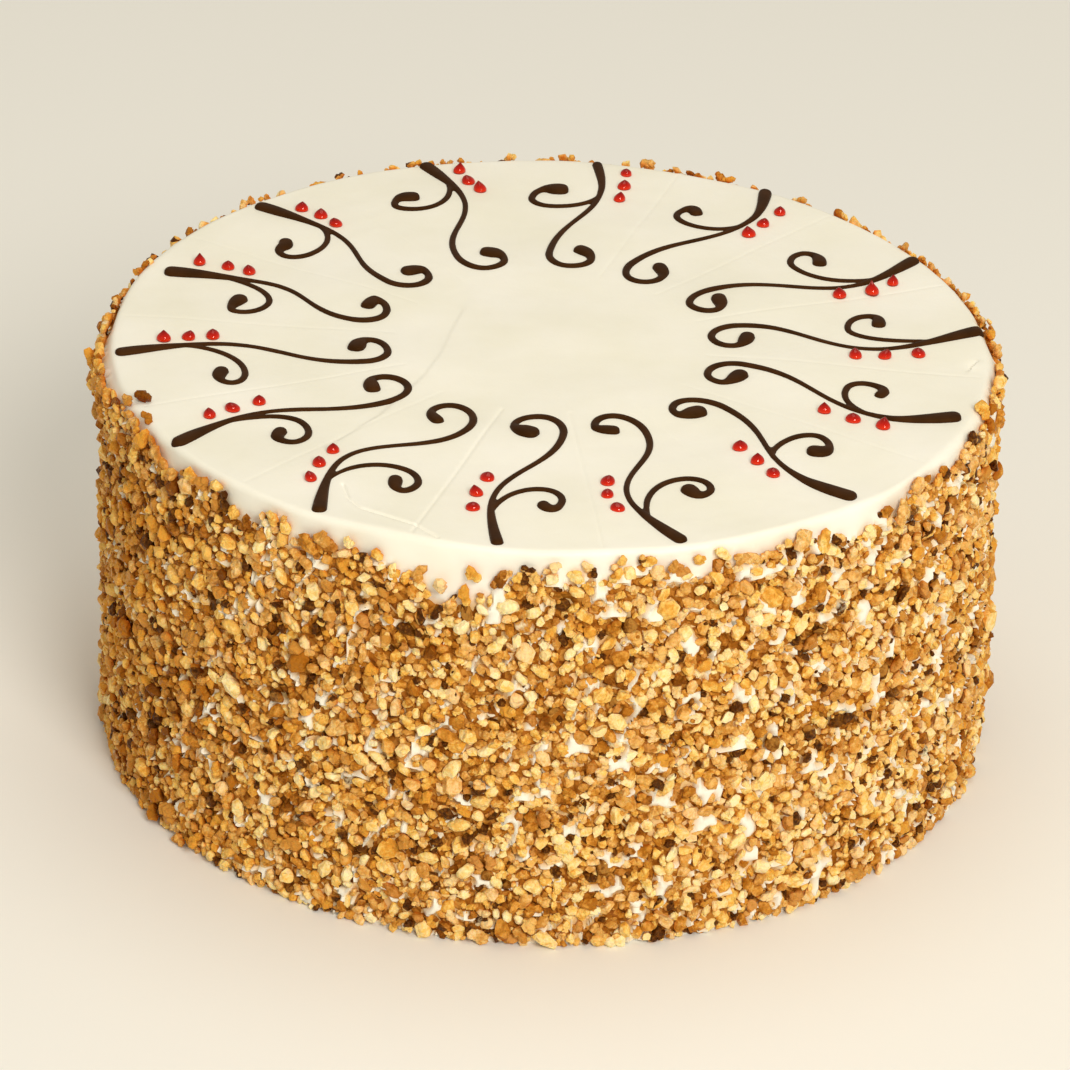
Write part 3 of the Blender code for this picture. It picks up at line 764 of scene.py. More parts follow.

# %% [markdown]
# ## How the scrolls are laid out
# Each scroll is one pull of the piping bag from the rim inwards: a wide blunt start, a long stem with a
# slight bow, and a curl. A second pull starts on the stem and curls the same way. The rows hold only
# turning points, in millimetres sideways and out from the middle, at a bearing, all read off the
# photograph. Smooth cubic stretches join the points.

# %% The fourteen scrolls
# bearing; stem (tip, bow, curl outside, curl lowest, curl inside, end); side branch (fork, lowest,
# outside, top, end); widths of tip, curl end and branch end; drops (sideways, out, height)
SCROLLS = (
    (-172.0, ((-0.4, 118.0), (-4.2, 91.5), (9.4, 51.5), (3.0, 44.9), (-3.8, 49.6), (0.3, 53.2)),
     ((-3.6, 102.6), (12.5, 84.3), (19.7, 88.4), (16.0, 91.5), (12.6, 90.7)),
     (4.0, 5.0, 4.2), ((-6.8, 105.0, 3.8), (-7.3, 98.3, 3.0), (-7.9, 91.6, 3.0))),
    (-145.1, ((0.1, 118.3), (-4.8, 96.0), (7.8, 57.5), (0.8, 47.6), (-5.4, 53.4), (-0.9, 56.9)),
     ((-4.4, 101.5), (6.5, 83.3), (15.0, 90.0), (11.1, 93.4), (7.7, 91.1)),
     (4.2, 4.6, 4.0), ((-8.8, 102.8, 3.2), (-9.2, 95.5, 2.9), (-8.7, 87.6, 3.1))),
    (-119.8, ((0.6, 117.3), (-9.5, 90.5), (8.1, 57.3), (-0.4, 46.6), (-5.4, 52.0), (-1.2, 56.9)),
     ((-6.6, 101.0), (6.6, 85.5), (13.9, 92.3), (12.0, 96.0), (8.0, 92.2)),
     (4.0, 3.8, 4.0), ((-10.2, 104.4, 2.9), (-12.7, 96.6, 3.1), (-13.7, 88.4, 3.2))),
    (-95.8, ((0.2, 116.5), (-4.2, 94.0), (9.7, 54.0), (2.8, 45.1), (-3.8, 51.0), (0.8, 54.9)),
     ((-3.7, 101.9), (7.8, 85.8), (13.7, 91.6), (11.6, 96.5), (9.3, 94.8)),
     (3.5, 5.4, 3.5), ((-8.5, 99.2, 2.5), (-8.6, 91.2, 3.5), (-7.0, 82.0, 2.5))),
    (-72.5, ((0.5, 116.5), (-6.2, 93.0), (9.5, 56.0), (2.3, 46.2), (-3.0, 51.5), (1.0, 54.0)),
     ((-4.3, 105.0), (10.0, 84.3), (16.4, 89.8), (12.7, 93.8), (10.5, 90.6)),
     (4.0, 4.0, 4.6), ((-11.0, 97.1, 2.3), (-11.4, 89.4, 2.5), (-9.2, 82.4, 2.9))),
    (-46.8, ((0.5, 115.0), (-2.7, 101.0), (10.1, 58.0), (2.5, 47.9), (-2.5, 52.6), (2.4, 55.3)),
     ((-0.5, 88.4), (10.5, 82.3), (17.7, 87.0), (13.0, 92.9), (10.7, 91.7)),
     (5.0, 5.4, 5.1), ((-7.6, 94.4, 2.7), (-5.9, 86.8, 3.5), (-3.6, 77.9, 3.2))),
    (-19.0, ((0.9, 114.6), (-6.2, 97.0), (8.0, 52.5), (1.2, 44.9), (-4.2, 50.0), (1.3, 53.6)),
     ((-6.2, 95.8), (5.8, 82.5), (10.7, 87.6), (8.2, 92.2), (6.0, 91.9)),
     (5.2, 5.0, 3.4), ((-12.3, 98.2, 3.6), (-11.8, 89.8, 2.9), (-10.1, 81.2, 3.6))),
    (8.0, ((-0.5, 119.1), (-9.1, 90.0), (7.2, 52.5), (1.0, 44.4), (-5.0, 49.6), (0.0, 54.1)),
     ((-5.6, 106.0), (3.4, 82.7), (11.4, 89.4), (9.0, 92.1), (6.1, 91.7)),
     (4.6, 4.5, 4.1), ((-13.8, 99.2, 2.9), (-14.2, 89.8, 2.9), (-13.8, 81.8, 3.1))),
    (30.7, ((0.3, 118.4), (-6.2, 96.0), (8.9, 56.5), (2.4, 46.2), (-2.9, 50.8), (2.6, 55.1)),
     ((-5.1, 103.0), (10.5, 84.7), (17.3, 91.0), (14.0, 94.1), (9.9, 92.7)),
     (4.2, 4.5, 4.3), ((-10.3, 104.2, 3.6), (-12.5, 95.9, 5.0), (-10.2, 86.7, 3.5))),
    (59.6, ((-0.25, 118.7), (-6.1, 101.0), (7.4, 56.0), (1.0, 46.7), (-3.9, 52.0), (-0.4, 58.2)),
     ((-5.4, 96.5), (6.0, 87.3), (13.7, 92.8), (11.7, 96.7), (9.5, 95.6)),
     (4.0, 4.4, 4.1), ((-11.2, 107.6, 3.4), (-10.9, 98.3, 3.0), (-10.8, 90.4, 3.5))),
    (84.3, ((0.2, 117.8), (-2.9, 101.0), (7.0, 56.5), (1.0, 48.0), (-5.1, 53.6), (-1.8, 58.8)),
     ((-2.8, 98.8), (10.6, 87.1), (16.2, 92.0), (12.0, 98.0), (8.9, 98.2)),
     (3.2, 4.5, 5.6), ((-8.9, 112.1, 2.6), (-9.3, 103.2, 3.1), (-8.8, 94.8, 3.4))),
    (108.8, ((0.0, 119.4), (-4.3, 98.0), (8.9, 58.0), (2.6, 48.8), (-3.5, 54.0), (-0.4, 58.4)),
     ((-2.8, 107.0), (10.2, 90.2), (16.5, 93.8), (12.5, 98.2), (10.3, 98.0)),
     (4.4, 5.0, 4.8), ((-8.4, 112.6, 3.9), (-8.8, 104.8, 3.0), (-10.4, 98.6, 3.6))),
    (135.9, ((1.0, 116.8), (-3.1, 92.5), (7.7, 56.0), (1.2, 49.6), (-4.9, 55.0), (-1.4, 57.4)),
     ((-2.8, 96.5), (10.8, 84.4), (17.3, 88.8), (14.2, 92.5), (11.8, 93.8)),
     (4.8, 4.8, 4.4), ((-6.5, 107.1, 3.3), (-7.2, 99.8, 3.1), (-6.7, 93.0, 3.1))),
    (161.4, ((1.2, 112.8), (-3.8, 86.0), (8.4, 55.0), (2.0, 47.7), (-5.2, 53.4), (-1.2, 53.8)),
     ((-2.4, 98.0), (8.4, 79.7), (16.3, 86.2), (13.0, 88.2), (9.0, 87.9)),
     (5.0, 4.2, 4.8), ((-7.0, 106.5, 4.0), (-7.9, 98.3, 3.0), (-7.9, 91.9, 3.2))),
)

# A way is the axis (0 sideways, 1 out) that the pull runs along at a turning point.
STEM_WAYS = (None, 1, 1, 0, 1, None)
STEM_STEPS = (14, 22, 12, 8, 7)
SIDE_WAYS = (1, 0, 1, 0, None)
SIDE_STEPS = (12, 8, 7, 5)
ARC = 0.552                  # handle length that turns a cubic curve into a quarter circle
SWAY = 0.45                  # handle length between two points that run the same way
LEAN = 0.30                  # handle length at the bow, towards the free tip
FREE = 0.35                  # handle length at a free end


def on_top(bearing, sideways, out):
    turn = math.radians(bearing)
    return (out * math.cos(turn) - sideways * math.sin(turn),
            out * math.sin(turn) + sideways * math.cos(turn))


def handles(start, end, start_way, end_way):
    reach = LEAN if start_way is None else SWAY if start_way == end_way else ARC
    first, second = list(start), list(end)
    if start_way is not None:
        first[start_way] += reach * (end[start_way] - start[start_way])
    if end_way is not None:
        second[end_way] += reach * (start[end_way] - end[end_way])
    if start_way is None:
        first = [a + FREE * (b - a) for a, b in zip(start, second)]
    if end_way is None:
        second = [a + FREE * (b - a) for a, b in zip(end, first)]
    return first, second


def pull(points, ways, steps):
    """Places along one pull of the bag, through its turning points."""
    line = [points[0]]
    for number in range(len(points) - 1):
        start, end = points[number], points[number + 1]
        first, second = handles(start, end, ways[number], ways[number + 1])
        for step in range(1, steps[number] + 1):
            t = step / steps[number]
            s = 1 - t
            line.append(tuple(s * s * s * a + 3 * s * s * t * b + 3 * s * t * t * c + t * t * t * d
                              for a, b, c, d in zip(start, first, second, end)))
    return line


print("scrolls", len(SCROLLS), "places on a stem", len(pull(SCROLLS[0][1], STEM_WAYS, STEM_STEPS)))

# %% [markdown]
# ## Piped chocolate
# A bead of soft chocolate from a round nozzle settles to a low rounded strip, about two fifths as high
# as it is wide where it is thin and less in the thick blobs. It could be a ribbon with a bevel, but the two
# pulls of a scroll melt into one at the fork. So each pull is a round tube that swells where the bag
# was stopped and ends in a rounded nose, a voxel remesh melts the two into one skin and a smooth takes
# off the steps. The upper half then settles, the underside is pressed flat, and the bead sinks onto the
# icing, round the edge too.

# %% Pipe one scroll
STEM_WIDTH = 1.75 * MM
CURL_WIDTH = 2.35 * MM
TIP_FADE = 13.5 * MM         # how far the wide start takes to thin out
END_SWELL = 5.4 * MM         # over what length a pull swells
END_HOLD = 1.1 * MM          # and how long it stays at its widest
TUBE_FINENESS = 3
# how far beyond the end, and how wide there: shares of the end's width
NOSE = ((0.14, 0.98), (0.26, 0.90), (0.36, 0.76), (0.43, 0.56), (0.47, 0.34))
MELT = 0.36 * MM             # voxel size of the remesh
PRESS = 0.22                 # how much of the lower half is left
HIGHEST_BEAD = 2.1 * MM      # a bead settles towards this height, however wide it is
BEAD_SINK = 0.12 * MM
READ_ABOVE = 0.7 * MM        # the rows were read at the beads' middle height: this much too far away
HAND_WOBBLE = 0.07           # share of the width
CURL_FROM = STEM_STEPS[0] + STEM_STEPS[1]    # place on the stem where it is as wide as its curl
CURL_GROWS = 10              # over how many places it widens
SIDE_GROWS = 24


def tube(places, widths):
    """A closed round tube along places on the plane, as wide as told at each."""
    data = bpy.data.curves.new("pull", "CURVE")
    data.dimensions = "3D"
    data.bevel_depth = 1.0
    data.bevel_resolution = TUBE_FINENESS
    data.use_fill_caps = True
    spline = data.splines.new("POLY")
    spline.points.add(len(places) - 1)
    for point, (x, y), width in zip(spline.points, places, widths):
        point.co = (x, y, 0, 1)
        point.radius = width / 2
    return add_object("pull", data)


def wobble(number, count):
    """The hand is never quite steady: a slow change of width along a pull."""
    return [1 + HAND_WOBBLE * noise.noise(Vector((number * 7.1, step * 0.16, 0))) for step in range(count)]


def runs(line):
    """Length run along a line at each of its places, in metres."""
    total = [0.0]
    for before, after in zip(line[:-1], line[1:]):
        total.append(total[-1] + math.dist(before, after) * MM)
    return total


def swollen(line, widths, end_width):
    """Widths that grow to the end's width over the last stretch, where the bag was stopped."""
    run = runs(line)
    grown = []
    for done, width in zip(run, widths):
        share = min(1.0, max(0.0, 1 - (run[-1] - done - END_HOLD) / END_SWELL))
        grown.append(width + (end_width - width) * share * share * (3 - 2 * share))
    return grown


def with_nose(line, widths):
    """A rounded blunt nose beyond the last place."""
    way = (Vector(line[-1]) - Vector(line[-3])).normalized()
    wide = widths[-1] / MM
    nose = [tuple(Vector(line[-1]) + way * share * wide) for share, _ in NOSE]
    return line + nose, widths + [widths[-1] * share for _, share in NOSE]


def stem_widths(line, tip_width):
    widths = []
    for number, run in enumerate(runs(line)):
        curl = min(1.0, max(0.0, (number - CURL_FROM + CURL_GROWS) / CURL_GROWS))
        plain = STEM_WIDTH + (CURL_WIDTH - STEM_WIDTH) * curl
        widths.append(plain + (tip_width * MM - plain) * math.exp(-(run / TIP_FADE) ** 2))
    return widths


def side_widths(line):
    """A side branch starts a little narrower than the stem and widens towards its curl."""
    return [STEM_WIDTH * min(1.0, 0.75 + step / 16) + (CURL_WIDTH - STEM_WIDTH) * min(1.0, step / SIDE_GROWS)
            for step in range(len(line))]


def one_pull(bearing, line, widths, seed):
    widths = [width * share for width, share in zip(widths, wobble(seed, len(line)))]
    line, widths = with_nose(line, widths)
    line, widths = with_nose(line[::-1], widths[::-1])
    places = [on_top(bearing, a * MM, b * MM) for a, b in line]
    return tube([(x, y - READ_ABOVE) for x, y in places], widths)


def pipe_scroll(number, row):
    bearing, stem, side, (tip_width, curl_end, side_end), _ = row
    stem = pull(stem, STEM_WAYS, STEM_STEPS)[1:]
    side = pull(side, SIDE_WAYS, SIDE_STEPS)
    parts = [one_pull(bearing, stem, swollen(stem, stem_widths(stem, tip_width), curl_end * MM), number),
             one_pull(bearing, side, swollen(side, side_widths(side), side_end * MM), number + 40)]
    select(parts)
    bpy.ops.object.convert(target="MESH")
    scroll = join(parts, f"chocolate_scroll_{number:02d}")
    bpy.ops.object.transform_apply(location=True, rotation=True, scale=True)
    apply_modifier(scroll, "REMESH", mode="VOXEL", voxel_size=MELT)
    apply_modifier(scroll, "SMOOTH", factor=0.5, iterations=4)
    places = corners(scroll)
    above = places[:, 2] / np.hypot(1, places[:, 2] / HIGHEST_BEAD)
    places[:, 2] = np.where(places[:, 2] < 0, places[:, 2] * PRESS, above)
    places[:, 2] += icing_height(places[:, 0], places[:, 1]) - BEAD_SINK
    move_corners(scroll, places)
    bpy.ops.object.shade_smooth()
    return scroll


# %% [markdown]
# ## Finish: dark chocolate
# Piping chocolate is a paste of cocoa and fat. It is almost black-brown where it turns away, and
# its satin skin throws back a broad, slightly grey light from above. Small folds from the nozzle
# run along it and break that light up a little.

# %% Make the chocolate's finish and pipe all the scrolls
def dark_chocolate():
    finish, shader = new_finish("dark_piping_chocolate")
    place = place_on(finish)
    tone = ramp(finish, soft_noise(finish, place, 5 * MM, 3.0), [(0.3, "#331D0B"), (0.7, "#412611")])
    grain = soft_noise(finish, place, 0.8 * MM, 3.0)
    plug(finish, shader, {"Base Color": tone, "Roughness": map_range(finish, grain, 0.0, 1.0, 0.44, 0.56),
                          "Normal": relief(finish, grain, 0.3, 0.06 * MM), "IOR": 1.5,
                          "Specular IOR Level": 0.1, "Specular Tint": "#D8A868"})
    return finish


chocolate = dark_chocolate()
piped = 0
for number, row in enumerate(SCROLLS, start=1):
    scroll = pipe_scroll(number, row)
    put_on(scroll, chocolate, f"scroll_{number:02d}", slot="piped_chocolate")
    piped += triangles(scroll)
print("chocolate triangles", piped)

# %% [markdown]
# ## Drops of red gel
# A drop is let go from a small nozzle that is lifted away, so it is full and round at the foot and
# drawn up to a peak that leans a little. High drops are pointed, low ones have slumped to a dome.
# Each of the 42 drops is a sphere that is reshaped ring by ring by one profile, with its own width,
# height and lean. They are joined, as one kind of thing.

# %% Shape the gel drops
DROP_RADIUS = 1.88 * MM
DROP_SINK = 0.35 * MM
DROP_SLUMP = 0.8              # of the height as it was piped
DROP_LOW, DROP_HIGH = 2.1 * MM, 3.7 * MM
DROP_LEAN = 0.9 * MM
DROP_LEANS = (0.2, 1.0)      # range of the lean, squared
DROP_WIDTHS = (0.92, 1.12)   # range of the width
DROP_OVAL = 0.05
DROP_SEGMENTS, DROP_RINGS = 22, 18
# share of the height, and share of the radius there for a pointed drop and for a slumped one
DROP_PROFILE = ((0.0, 0.80, 0.84), (0.10, 0.95, 0.95), (0.22, 1.0, 1.0), (0.38, 0.91, 0.97),
                (0.50, 0.74, 0.91), (0.62, 0.52, 0.81), (0.72, 0.35, 0.68), (0.80, 0.25, 0.52),
                (0.87, 0.18, 0.34), (0.93, 0.13, 0.20), (0.97, 0.09, 0.11), (1.0, 0.0, 0.0))


def shape_drop(x, y, height, random):
    deselect()
    bpy.ops.mesh.primitive_uv_sphere_add(segments=DROP_SEGMENTS, ring_count=DROP_RINGS, radius=1.0)
    drop = bpy.context.object
    places = corners(drop)
    share = (places[:, 2] + 1) / 2
    pointed = np.clip((height - DROP_LOW) / (DROP_HIGH - DROP_LOW), 0, 1)
    table = np.array(DROP_PROFILE)
    radius = np.interp(share, table[:, 0], table[:, 1] * pointed + table[:, 2] * (1 - pointed))
    bearing = np.arctan2(places[:, 1], places[:, 0])
    pole = np.hypot(places[:, 0], places[:, 1]) < 1e-6
    radius[pole] = 0
    wide = DROP_RADIUS * random.uniform(*DROP_WIDTHS)
    oval = 1 + DROP_OVAL * np.cos(2 * (bearing - random.uniform(0, math.pi)))
    lean_way = random.uniform(0, 2 * math.pi)
    lean = DROP_LEAN * random.uniform(*DROP_LEANS) ** 2 * share ** 2
    places[:, 0] = x + wide * radius * oval * np.cos(bearing) + lean * math.cos(lean_way)
    places[:, 1] = y + wide * radius * oval * np.sin(bearing) + lean * math.sin(lean_way)
    places[:, 2] = float(icing_height(x, y)) - DROP_SINK + share * (height + DROP_SINK)
    move_corners(drop, places)
    note(drop, "rise", share)
    return drop


random = np.random.default_rng(7)
drops = []
for bearing, _, _, _, places in SCROLLS:
    for sideways, out, height in places:
        x, y = on_top(bearing, sideways * MM, out * MM)
        drops.append(shape_drop(x, y, DROP_SLUMP * height * MM, random))
gel = join(drops, "gel_drops")
bpy.ops.object.shade_smooth()
print("gel triangles", triangles(gel))

# %% [markdown]
# ## Finish: red piping gel
# Piping gel is clear coloured starch jelly. Its skin is wet and shows a small sharp light. What goes in
# comes back dark red at the foot and the peak, and glows orange-red in a band low on the flank, where
# the light that crossed the drop leaves it. It is part clear, so a little of it is transmission.

# %% Make the gel's finish
def red_gel():
    finish, shader = new_finish("red_piping_gel")
    depth = ramp(finish, read_note(finish, "rise")["Fac"],
                 [(0.12, "#8C0E02"), (0.27, "#EE3206"), (0.55, "#CE1602"), (0.9, "#8A0601")])
    plug(finish, shader, {"Base Color": depth, "Roughness": 0.06, "IOR": 1.5, "Transmission Weight": 0.2,
                          "Specular IOR Level": 0.25, "Specular Tint": "#FF6030", "Coat Weight": 0.65,
                          "Coat Roughness": 0.025})
    return finish


put_on(gel, red_gel(), slot="iced_cake")

# %% [markdown]
# ## Nut meal under the pieces
# Chopping makes meal as well as pieces, and it sticks first. The meal is a body of its own just proud
# of the icing: a cylinder whose wall is cut into a fine mesh, with every point pushed in or out by
# about a grain. Where icing shows, and above the coat's edge, it slopes down under the icing.

# %% Shape the meal
MEAL_COLUMNS = 520
MEAL_CUTS = 78
MEAL_RISE = 0.6 * MM
MEAL_GRAIN = 0.8 * MM
MEAL_DIP = 1.6 * MM
MEAL_TOP = WALL_TOP + 0.5 * MM
MEAL_SHIFT = 0.4             # mm up or down, so that the rows of points do not show
BESIDE_VEIN = 0.1            # how far off a vein the meal starts to rise
MEAL_STOP = 2.0 * MM         # below the coat's edge
MEAL_SLOPE = 1.5 * MM
SAME = 0.01 * MM             # heights closer than this are the same


def shape_meal(random):
    deselect()
    bpy.ops.mesh.primitive_cylinder_add(vertices=MEAL_COLUMNS, radius=ICING_RADIUS, depth=MEAL_TOP,
                                        location=(0, 0, MEAL_TOP / 2), end_fill_type="NGON")
    meal = bpy.context.object
    meal.name = "nut_meal"
    bpy.ops.object.transform_apply(location=True)
    ends = corners(meal)
    select_edges(meal, lambda a, b: np.abs(ends[a, 2] - ends[b, 2]) > MEAL_TOP / 2)
    bpy.ops.object.mode_set(mode="EDIT")
    bpy.ops.mesh.subdivide(number_cuts=MEAL_CUTS)
    bpy.ops.object.mode_set(mode="OBJECT")
    places = corners(meal)
    around = np.arctan2(places[:, 1], places[:, 0]) * ICING_RADIUS
    climb = places[:, 2] - WALL_TOP
    covered = np.clip((-BESIDE_VEIN - vein(around, climb)) / 0.5, 0, 1)
    covered *= np.clip((coat_edge(around) - MEAL_STOP - climb) / MEAL_SLOPE, 0, 1)
    inside = (places[:, 2] > SAME) & (places[:, 2] < MEAL_TOP - SAME)
    grain = random.uniform(-1, 1, len(places)) * MEAL_GRAIN + bulge(around, climb)
    reach = ICING_RADIUS - MEAL_DIP + covered * (MEAL_DIP + MEAL_RISE + grain)
    reach[~inside] = ICING_RADIUS - MEAL_DIP
    places[:, 0] = reach * np.cos(around / ICING_RADIUS)
    places[:, 1] = reach * np.sin(around / ICING_RADIUS)
    places[inside, 2] += random.uniform(-MEAL_SHIFT, MEAL_SHIFT, int(inside.sum())) * MM
    move_corners(meal, places)
    return meal


meal = shape_meal(np.random.default_rng(21))
print("meal triangles", triangles(meal))

# %% [markdown]
# ## A few chopped nuts as patterns
# A chopped hazelnut breaks in two ways. Some pieces keep flat cut faces and a bit of the round outside,
# and many crumble into rough lumps of three or four grains that hold together. The first kind is a low
# sphere, crumpled and bisected by a few planes whose cuts are filled. The second is a few tiny spheres
# run into each other and crumpled. Crumbs have only twenty faces. The skin stays on the round faces of
# one side and is kept for each face corner, so it ends at a sharp break. Twenty-six patterns are
# enough, because each copy is turned, stretched and toned on its own.

# %% Cut the patterns
SHORTEST_EDGE = 0.11         # of the lump's length: finer edges only cost triangles
ANGULAR = ((3, 1), (4, 1), (5, 2), (4, 1), (6, 2), (3, 1), (5, 1), (6, 2), (4, 2))     # cuts, fineness
GRAINS = (3, 4, 3, 3, 4, 3, 4, 3)
CRUMPLE, LUMP_CRUMPLE, CRUMB_CRUMPLE = 0.07, 0.085, 0.13      # of the length
CUT_AT = (0.20, 0.33)        # how far from the middle a plane cuts
GRAIN_RADIUS, MIDDLE_RADIUS = (0.20, 0.31), (0.30, 0.36)
GRAIN_OUT = 0.25
GRAIN_TURN = (1.6, 2.6)      # radians from one grain to the next
THINNED, NARROWED = (0.62, 0.85), (0.68, 0.95)
SKIN_MIDDLE, SKIN_SLOPE = 0.6, 2.5           # how much skin in the middle, and how fast it grows to a side
SEEDS = 1000


def pattern_from(nut, random, faceted):
    """Corners and faces of a pattern about a unit long, its flat faces, and the skin at each face corner."""
    bpy.ops.object.mode_set(mode="OBJECT")
    places = corners(nut)
    places -= places.mean(axis=0)
    faces = [tuple(face.vertices) for face in nut.data.polygons]
    bpy.data.objects.remove(nut, do_unlink=True)
    is_cut = np.array([len(face) > 4 for face in faces])
    skin_side = np.array(Vector(random.normal(size=3)).normalized())
    skin = np.concatenate([(SKIN_MIDDLE + SKIN_SLOPE * places[list(face)] @ skin_side) * (len(face) <= 4)
                           for face in faces])
    return places, faces, is_cut | faceted, np.clip(skin, 0, 1)


def chopped_nut(random, cuts, fineness, crumple, faceted=True):
    """A lump with flat cuts, flattest along X."""
    deselect()
    bpy.ops.mesh.primitive_ico_sphere_add(subdivisions=fineness, radius=0.5)
    nut = bpy.context.object
    bpy.ops.object.mode_set(mode="EDIT")
    bpy.ops.mesh.select_all(action="SELECT")
    bpy.ops.transform.resize(value=(random.uniform(*THINNED), 1.0, random.uniform(*NARROWED)))
    bpy.ops.transform.vertex_random(offset=crumple, seed=int(random.integers(SEEDS)))
    for _ in range(cuts):
        way = Vector(random.normal(size=3)).normalized()
        bpy.ops.mesh.select_all(action="SELECT")
        bpy.ops.mesh.bisect(plane_co=way * random.uniform(*CUT_AT), plane_no=way,
                            use_fill=True, clear_outer=True)
    bpy.ops.mesh.select_all(action="SELECT")
    bpy.ops.mesh.remove_doubles(threshold=SHORTEST_EDGE)
    return pattern_from(nut, random, faceted)


def crumbly_nut(random, grains):
    """A rough lump of a few grains run together."""
    deselect()
    bpy.ops.mesh.primitive_ico_sphere_add(subdivisions=1, radius=random.uniform(*MIDDLE_RADIUS))
    nut = bpy.context.object
    bpy.ops.object.mode_set(mode="EDIT")
    start = random.uniform(0, 2 * math.pi)
    for grain in range(1, grains):
        angle = start + grain * random.uniform(*GRAIN_TURN)
        place = (random.uniform(-0.08, 0.12), GRAIN_OUT * math.cos(angle), GRAIN_OUT * math.sin(angle))
        bpy.ops.mesh.primitive_ico_sphere_add(subdivisions=1, radius=random.uniform(*GRAIN_RADIUS),
                                              location=place)
    bpy.ops.mesh.select_all(action="SELECT")
    bpy.ops.transform.vertex_random(offset=LUMP_CRUMPLE, seed=int(random.integers(SEEDS)))
    return pattern_from(nut, random, True)


random = np.random.default_rng(11)
angular = [chopped_nut(random, cuts, fineness, CRUMPLE) for cuts, fineness in ANGULAR]
crumbly = [crumbly_nut(random, grains) for grains in GRAINS]
rounded = [chopped_nut(random, cuts, 2, CRUMPLE, faceted=False) for cuts in (1, 2, 2)]
crumb = [chopped_nut(random, 0, 1, CRUMB_CRUMPLE) for _ in range(6)]
for name, patterns in (("angular", angular), ("crumbly", crumbly), ("rounded", rounded), ("crumb", crumb)):
    print(name, "triangles", [sum(len(f) - 2 for f in p[1]) for p in patterns])

# %% [markdown]
# ## Sow the nuts over the map
# Where do thousands of pieces go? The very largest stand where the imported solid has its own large
# pieces, so the coat keeps the solid's form. The nuts that catch the eye, at the rim and on the wall,
# stand where the photograph shows them. The rest are sown over what is still bare, the large ones
# first, and each marks the patch it covers. Smaller and smaller pieces then fill what is left, which is
# what pressing a wall into a tray of mixed chopped nuts does.

# %% Sow the nuts
CELL = 0.5 * MM
LOWEST = -WALL_TOP
HIGHEST = 12 * MM
# longest and shortest length of a size in mm, the share of it that may lie on others, and how many
SIZES = ((7.0, 6.0, 0.20, 60), (6.0, 5.0, 0.24, 600), (5.0, 4.2, 0.28, 2000), (4.2, 3.4, 0.32, 2800),
         (3.4, 2.6, 0.38, 3300))
COVERS = 0.44                # radius of the patch that a piece covers, of its length
OFF_COAT = 0.45              # share of that patch that may lie off the coat
# the solid's large pieces: how far its points stand out, how far below the top, how far apart; their lengths
CHUNK_PROUD = 3.45 * MM
CHUNK_BELOW = 2 * MM
CHUNK_APART = 6 * MM
CHUNK_LENGTHS = (6.6, 8.0)
# nuts that stand out, read off the photograph, by kind: pixels across and down, length in mm
NUTS_SEEN = {
    "nuts_roasted": ((142, 398, 6), (249, 521, 5), (328, 546, 5), (500, 580, 4.4), (682, 571, 4.4),
        (908, 512, 4.6), (964, 468, 5.4), (959, 465, 4.4), (551, 622, 4.4), (800, 656, 5), (856, 742, 5.2),
        (887, 546, 5.6)),
    "nuts_toasted": ((147, 417, 4.2), (103, 342, 5), (308, 541, 6.4), (533, 578, 4.2), (643, 560, 3.4),
        (774, 555, 4.8), (886, 512, 5.6), (944, 471, 4.6), (938, 533, 7.2)),
    "nuts_golden": ((100, 361, 6.4), (146, 439, 6), (190, 475, 4.6), (234, 513, 5.2), (274, 518, 6.4),
        (350, 542, 4.6), (377, 556, 4.8), (408, 577, 4.6), (474, 575, 4.9), (649, 562, 4.8),
        (700, 559, 4.6), (724, 554, 5.8), (823, 542, 5.6), (867, 532, 5), (933, 478, 5.2), (972, 437, 4.8),
        (982, 410, 6), (541, 670, 6.4)),
    "nuts_tan": ((111, 387, 5.4), (129, 401, 4.8), (157, 454, 6), (175, 473, 5.4), (204, 483, 5),
        (322, 537, 6.4), (364, 558, 5), (420, 574, 5.2), (440, 584, 5.2), (507, 576, 4), (527, 570, 4.4),
        (555, 566, 3.8), (588, 568, 4.6), (672, 566, 3.8), (751, 558, 5.2), (801, 538, 7), (838, 540, 4.6),
        (898, 510, 6), (918, 487, 7), (921, 500, 5.4), (965, 455, 5), (192, 636, 7.6)),
    "nuts_blanched": ((217, 484, 4.6), (284, 539, 5), (553, 578, 4.6), (621, 560, 4.2), (630, 572, 5),
        (615, 719, 5.8), (571, 702, 4.6), (588, 701, 4.6)),
    "nuts_dark_skinned": ((224, 496, 4.4), (405, 628, 5.6), (278, 695, 6.6), (529, 604, 4.6),
        (563, 604, 5.4), (630, 625, 5.2), (770, 742, 5.6), (811, 743, 5.6), (818, 627, 5.2),
        (892, 694, 5.8), (869, 806, 5.6), (125, 471, 4.6), (150, 542, 5.6), (175, 515, 5)),
}
# nuts that show above the back edge: bearing in degrees, climb and length in mm
NUTS_BEHIND = {
    "nuts_tan": ((69.5, 0.2, 3.4), (77.5, 0.6, 5.6), (85.5, 0.2, 3.8), (89.2, 0.4, 4.6), (106, 0.5, 3.8),
        (114, 0.3, 3.4), (121, 0.4, 3.8)),
    "nuts_toasted": ((74.5, 0.4, 3.4), (92, 0.4, 4.8), (110.5, 0.8, 4.4)),
    "nuts_golden": ((80.5, 0.6, 4), (96.6, 0.9, 4.4), (118, 0.4, 3.6)),
}


def lone_nuts():
    """Places on the map, lengths and kinds of the nuts that stand out."""
    found = []
    for kind, rows in NUTS_SEEN.items():
        for across, down, length in rows:
            found.append((*seen_on_map(across, down), length * MM, kind))
    for kind, rows in NUTS_BEHIND.items():
        for bearing, climb, length in rows:
            found.append((math.radians(bearing) * ICING_RADIUS, climb * MM, length * MM, kind))
    return found


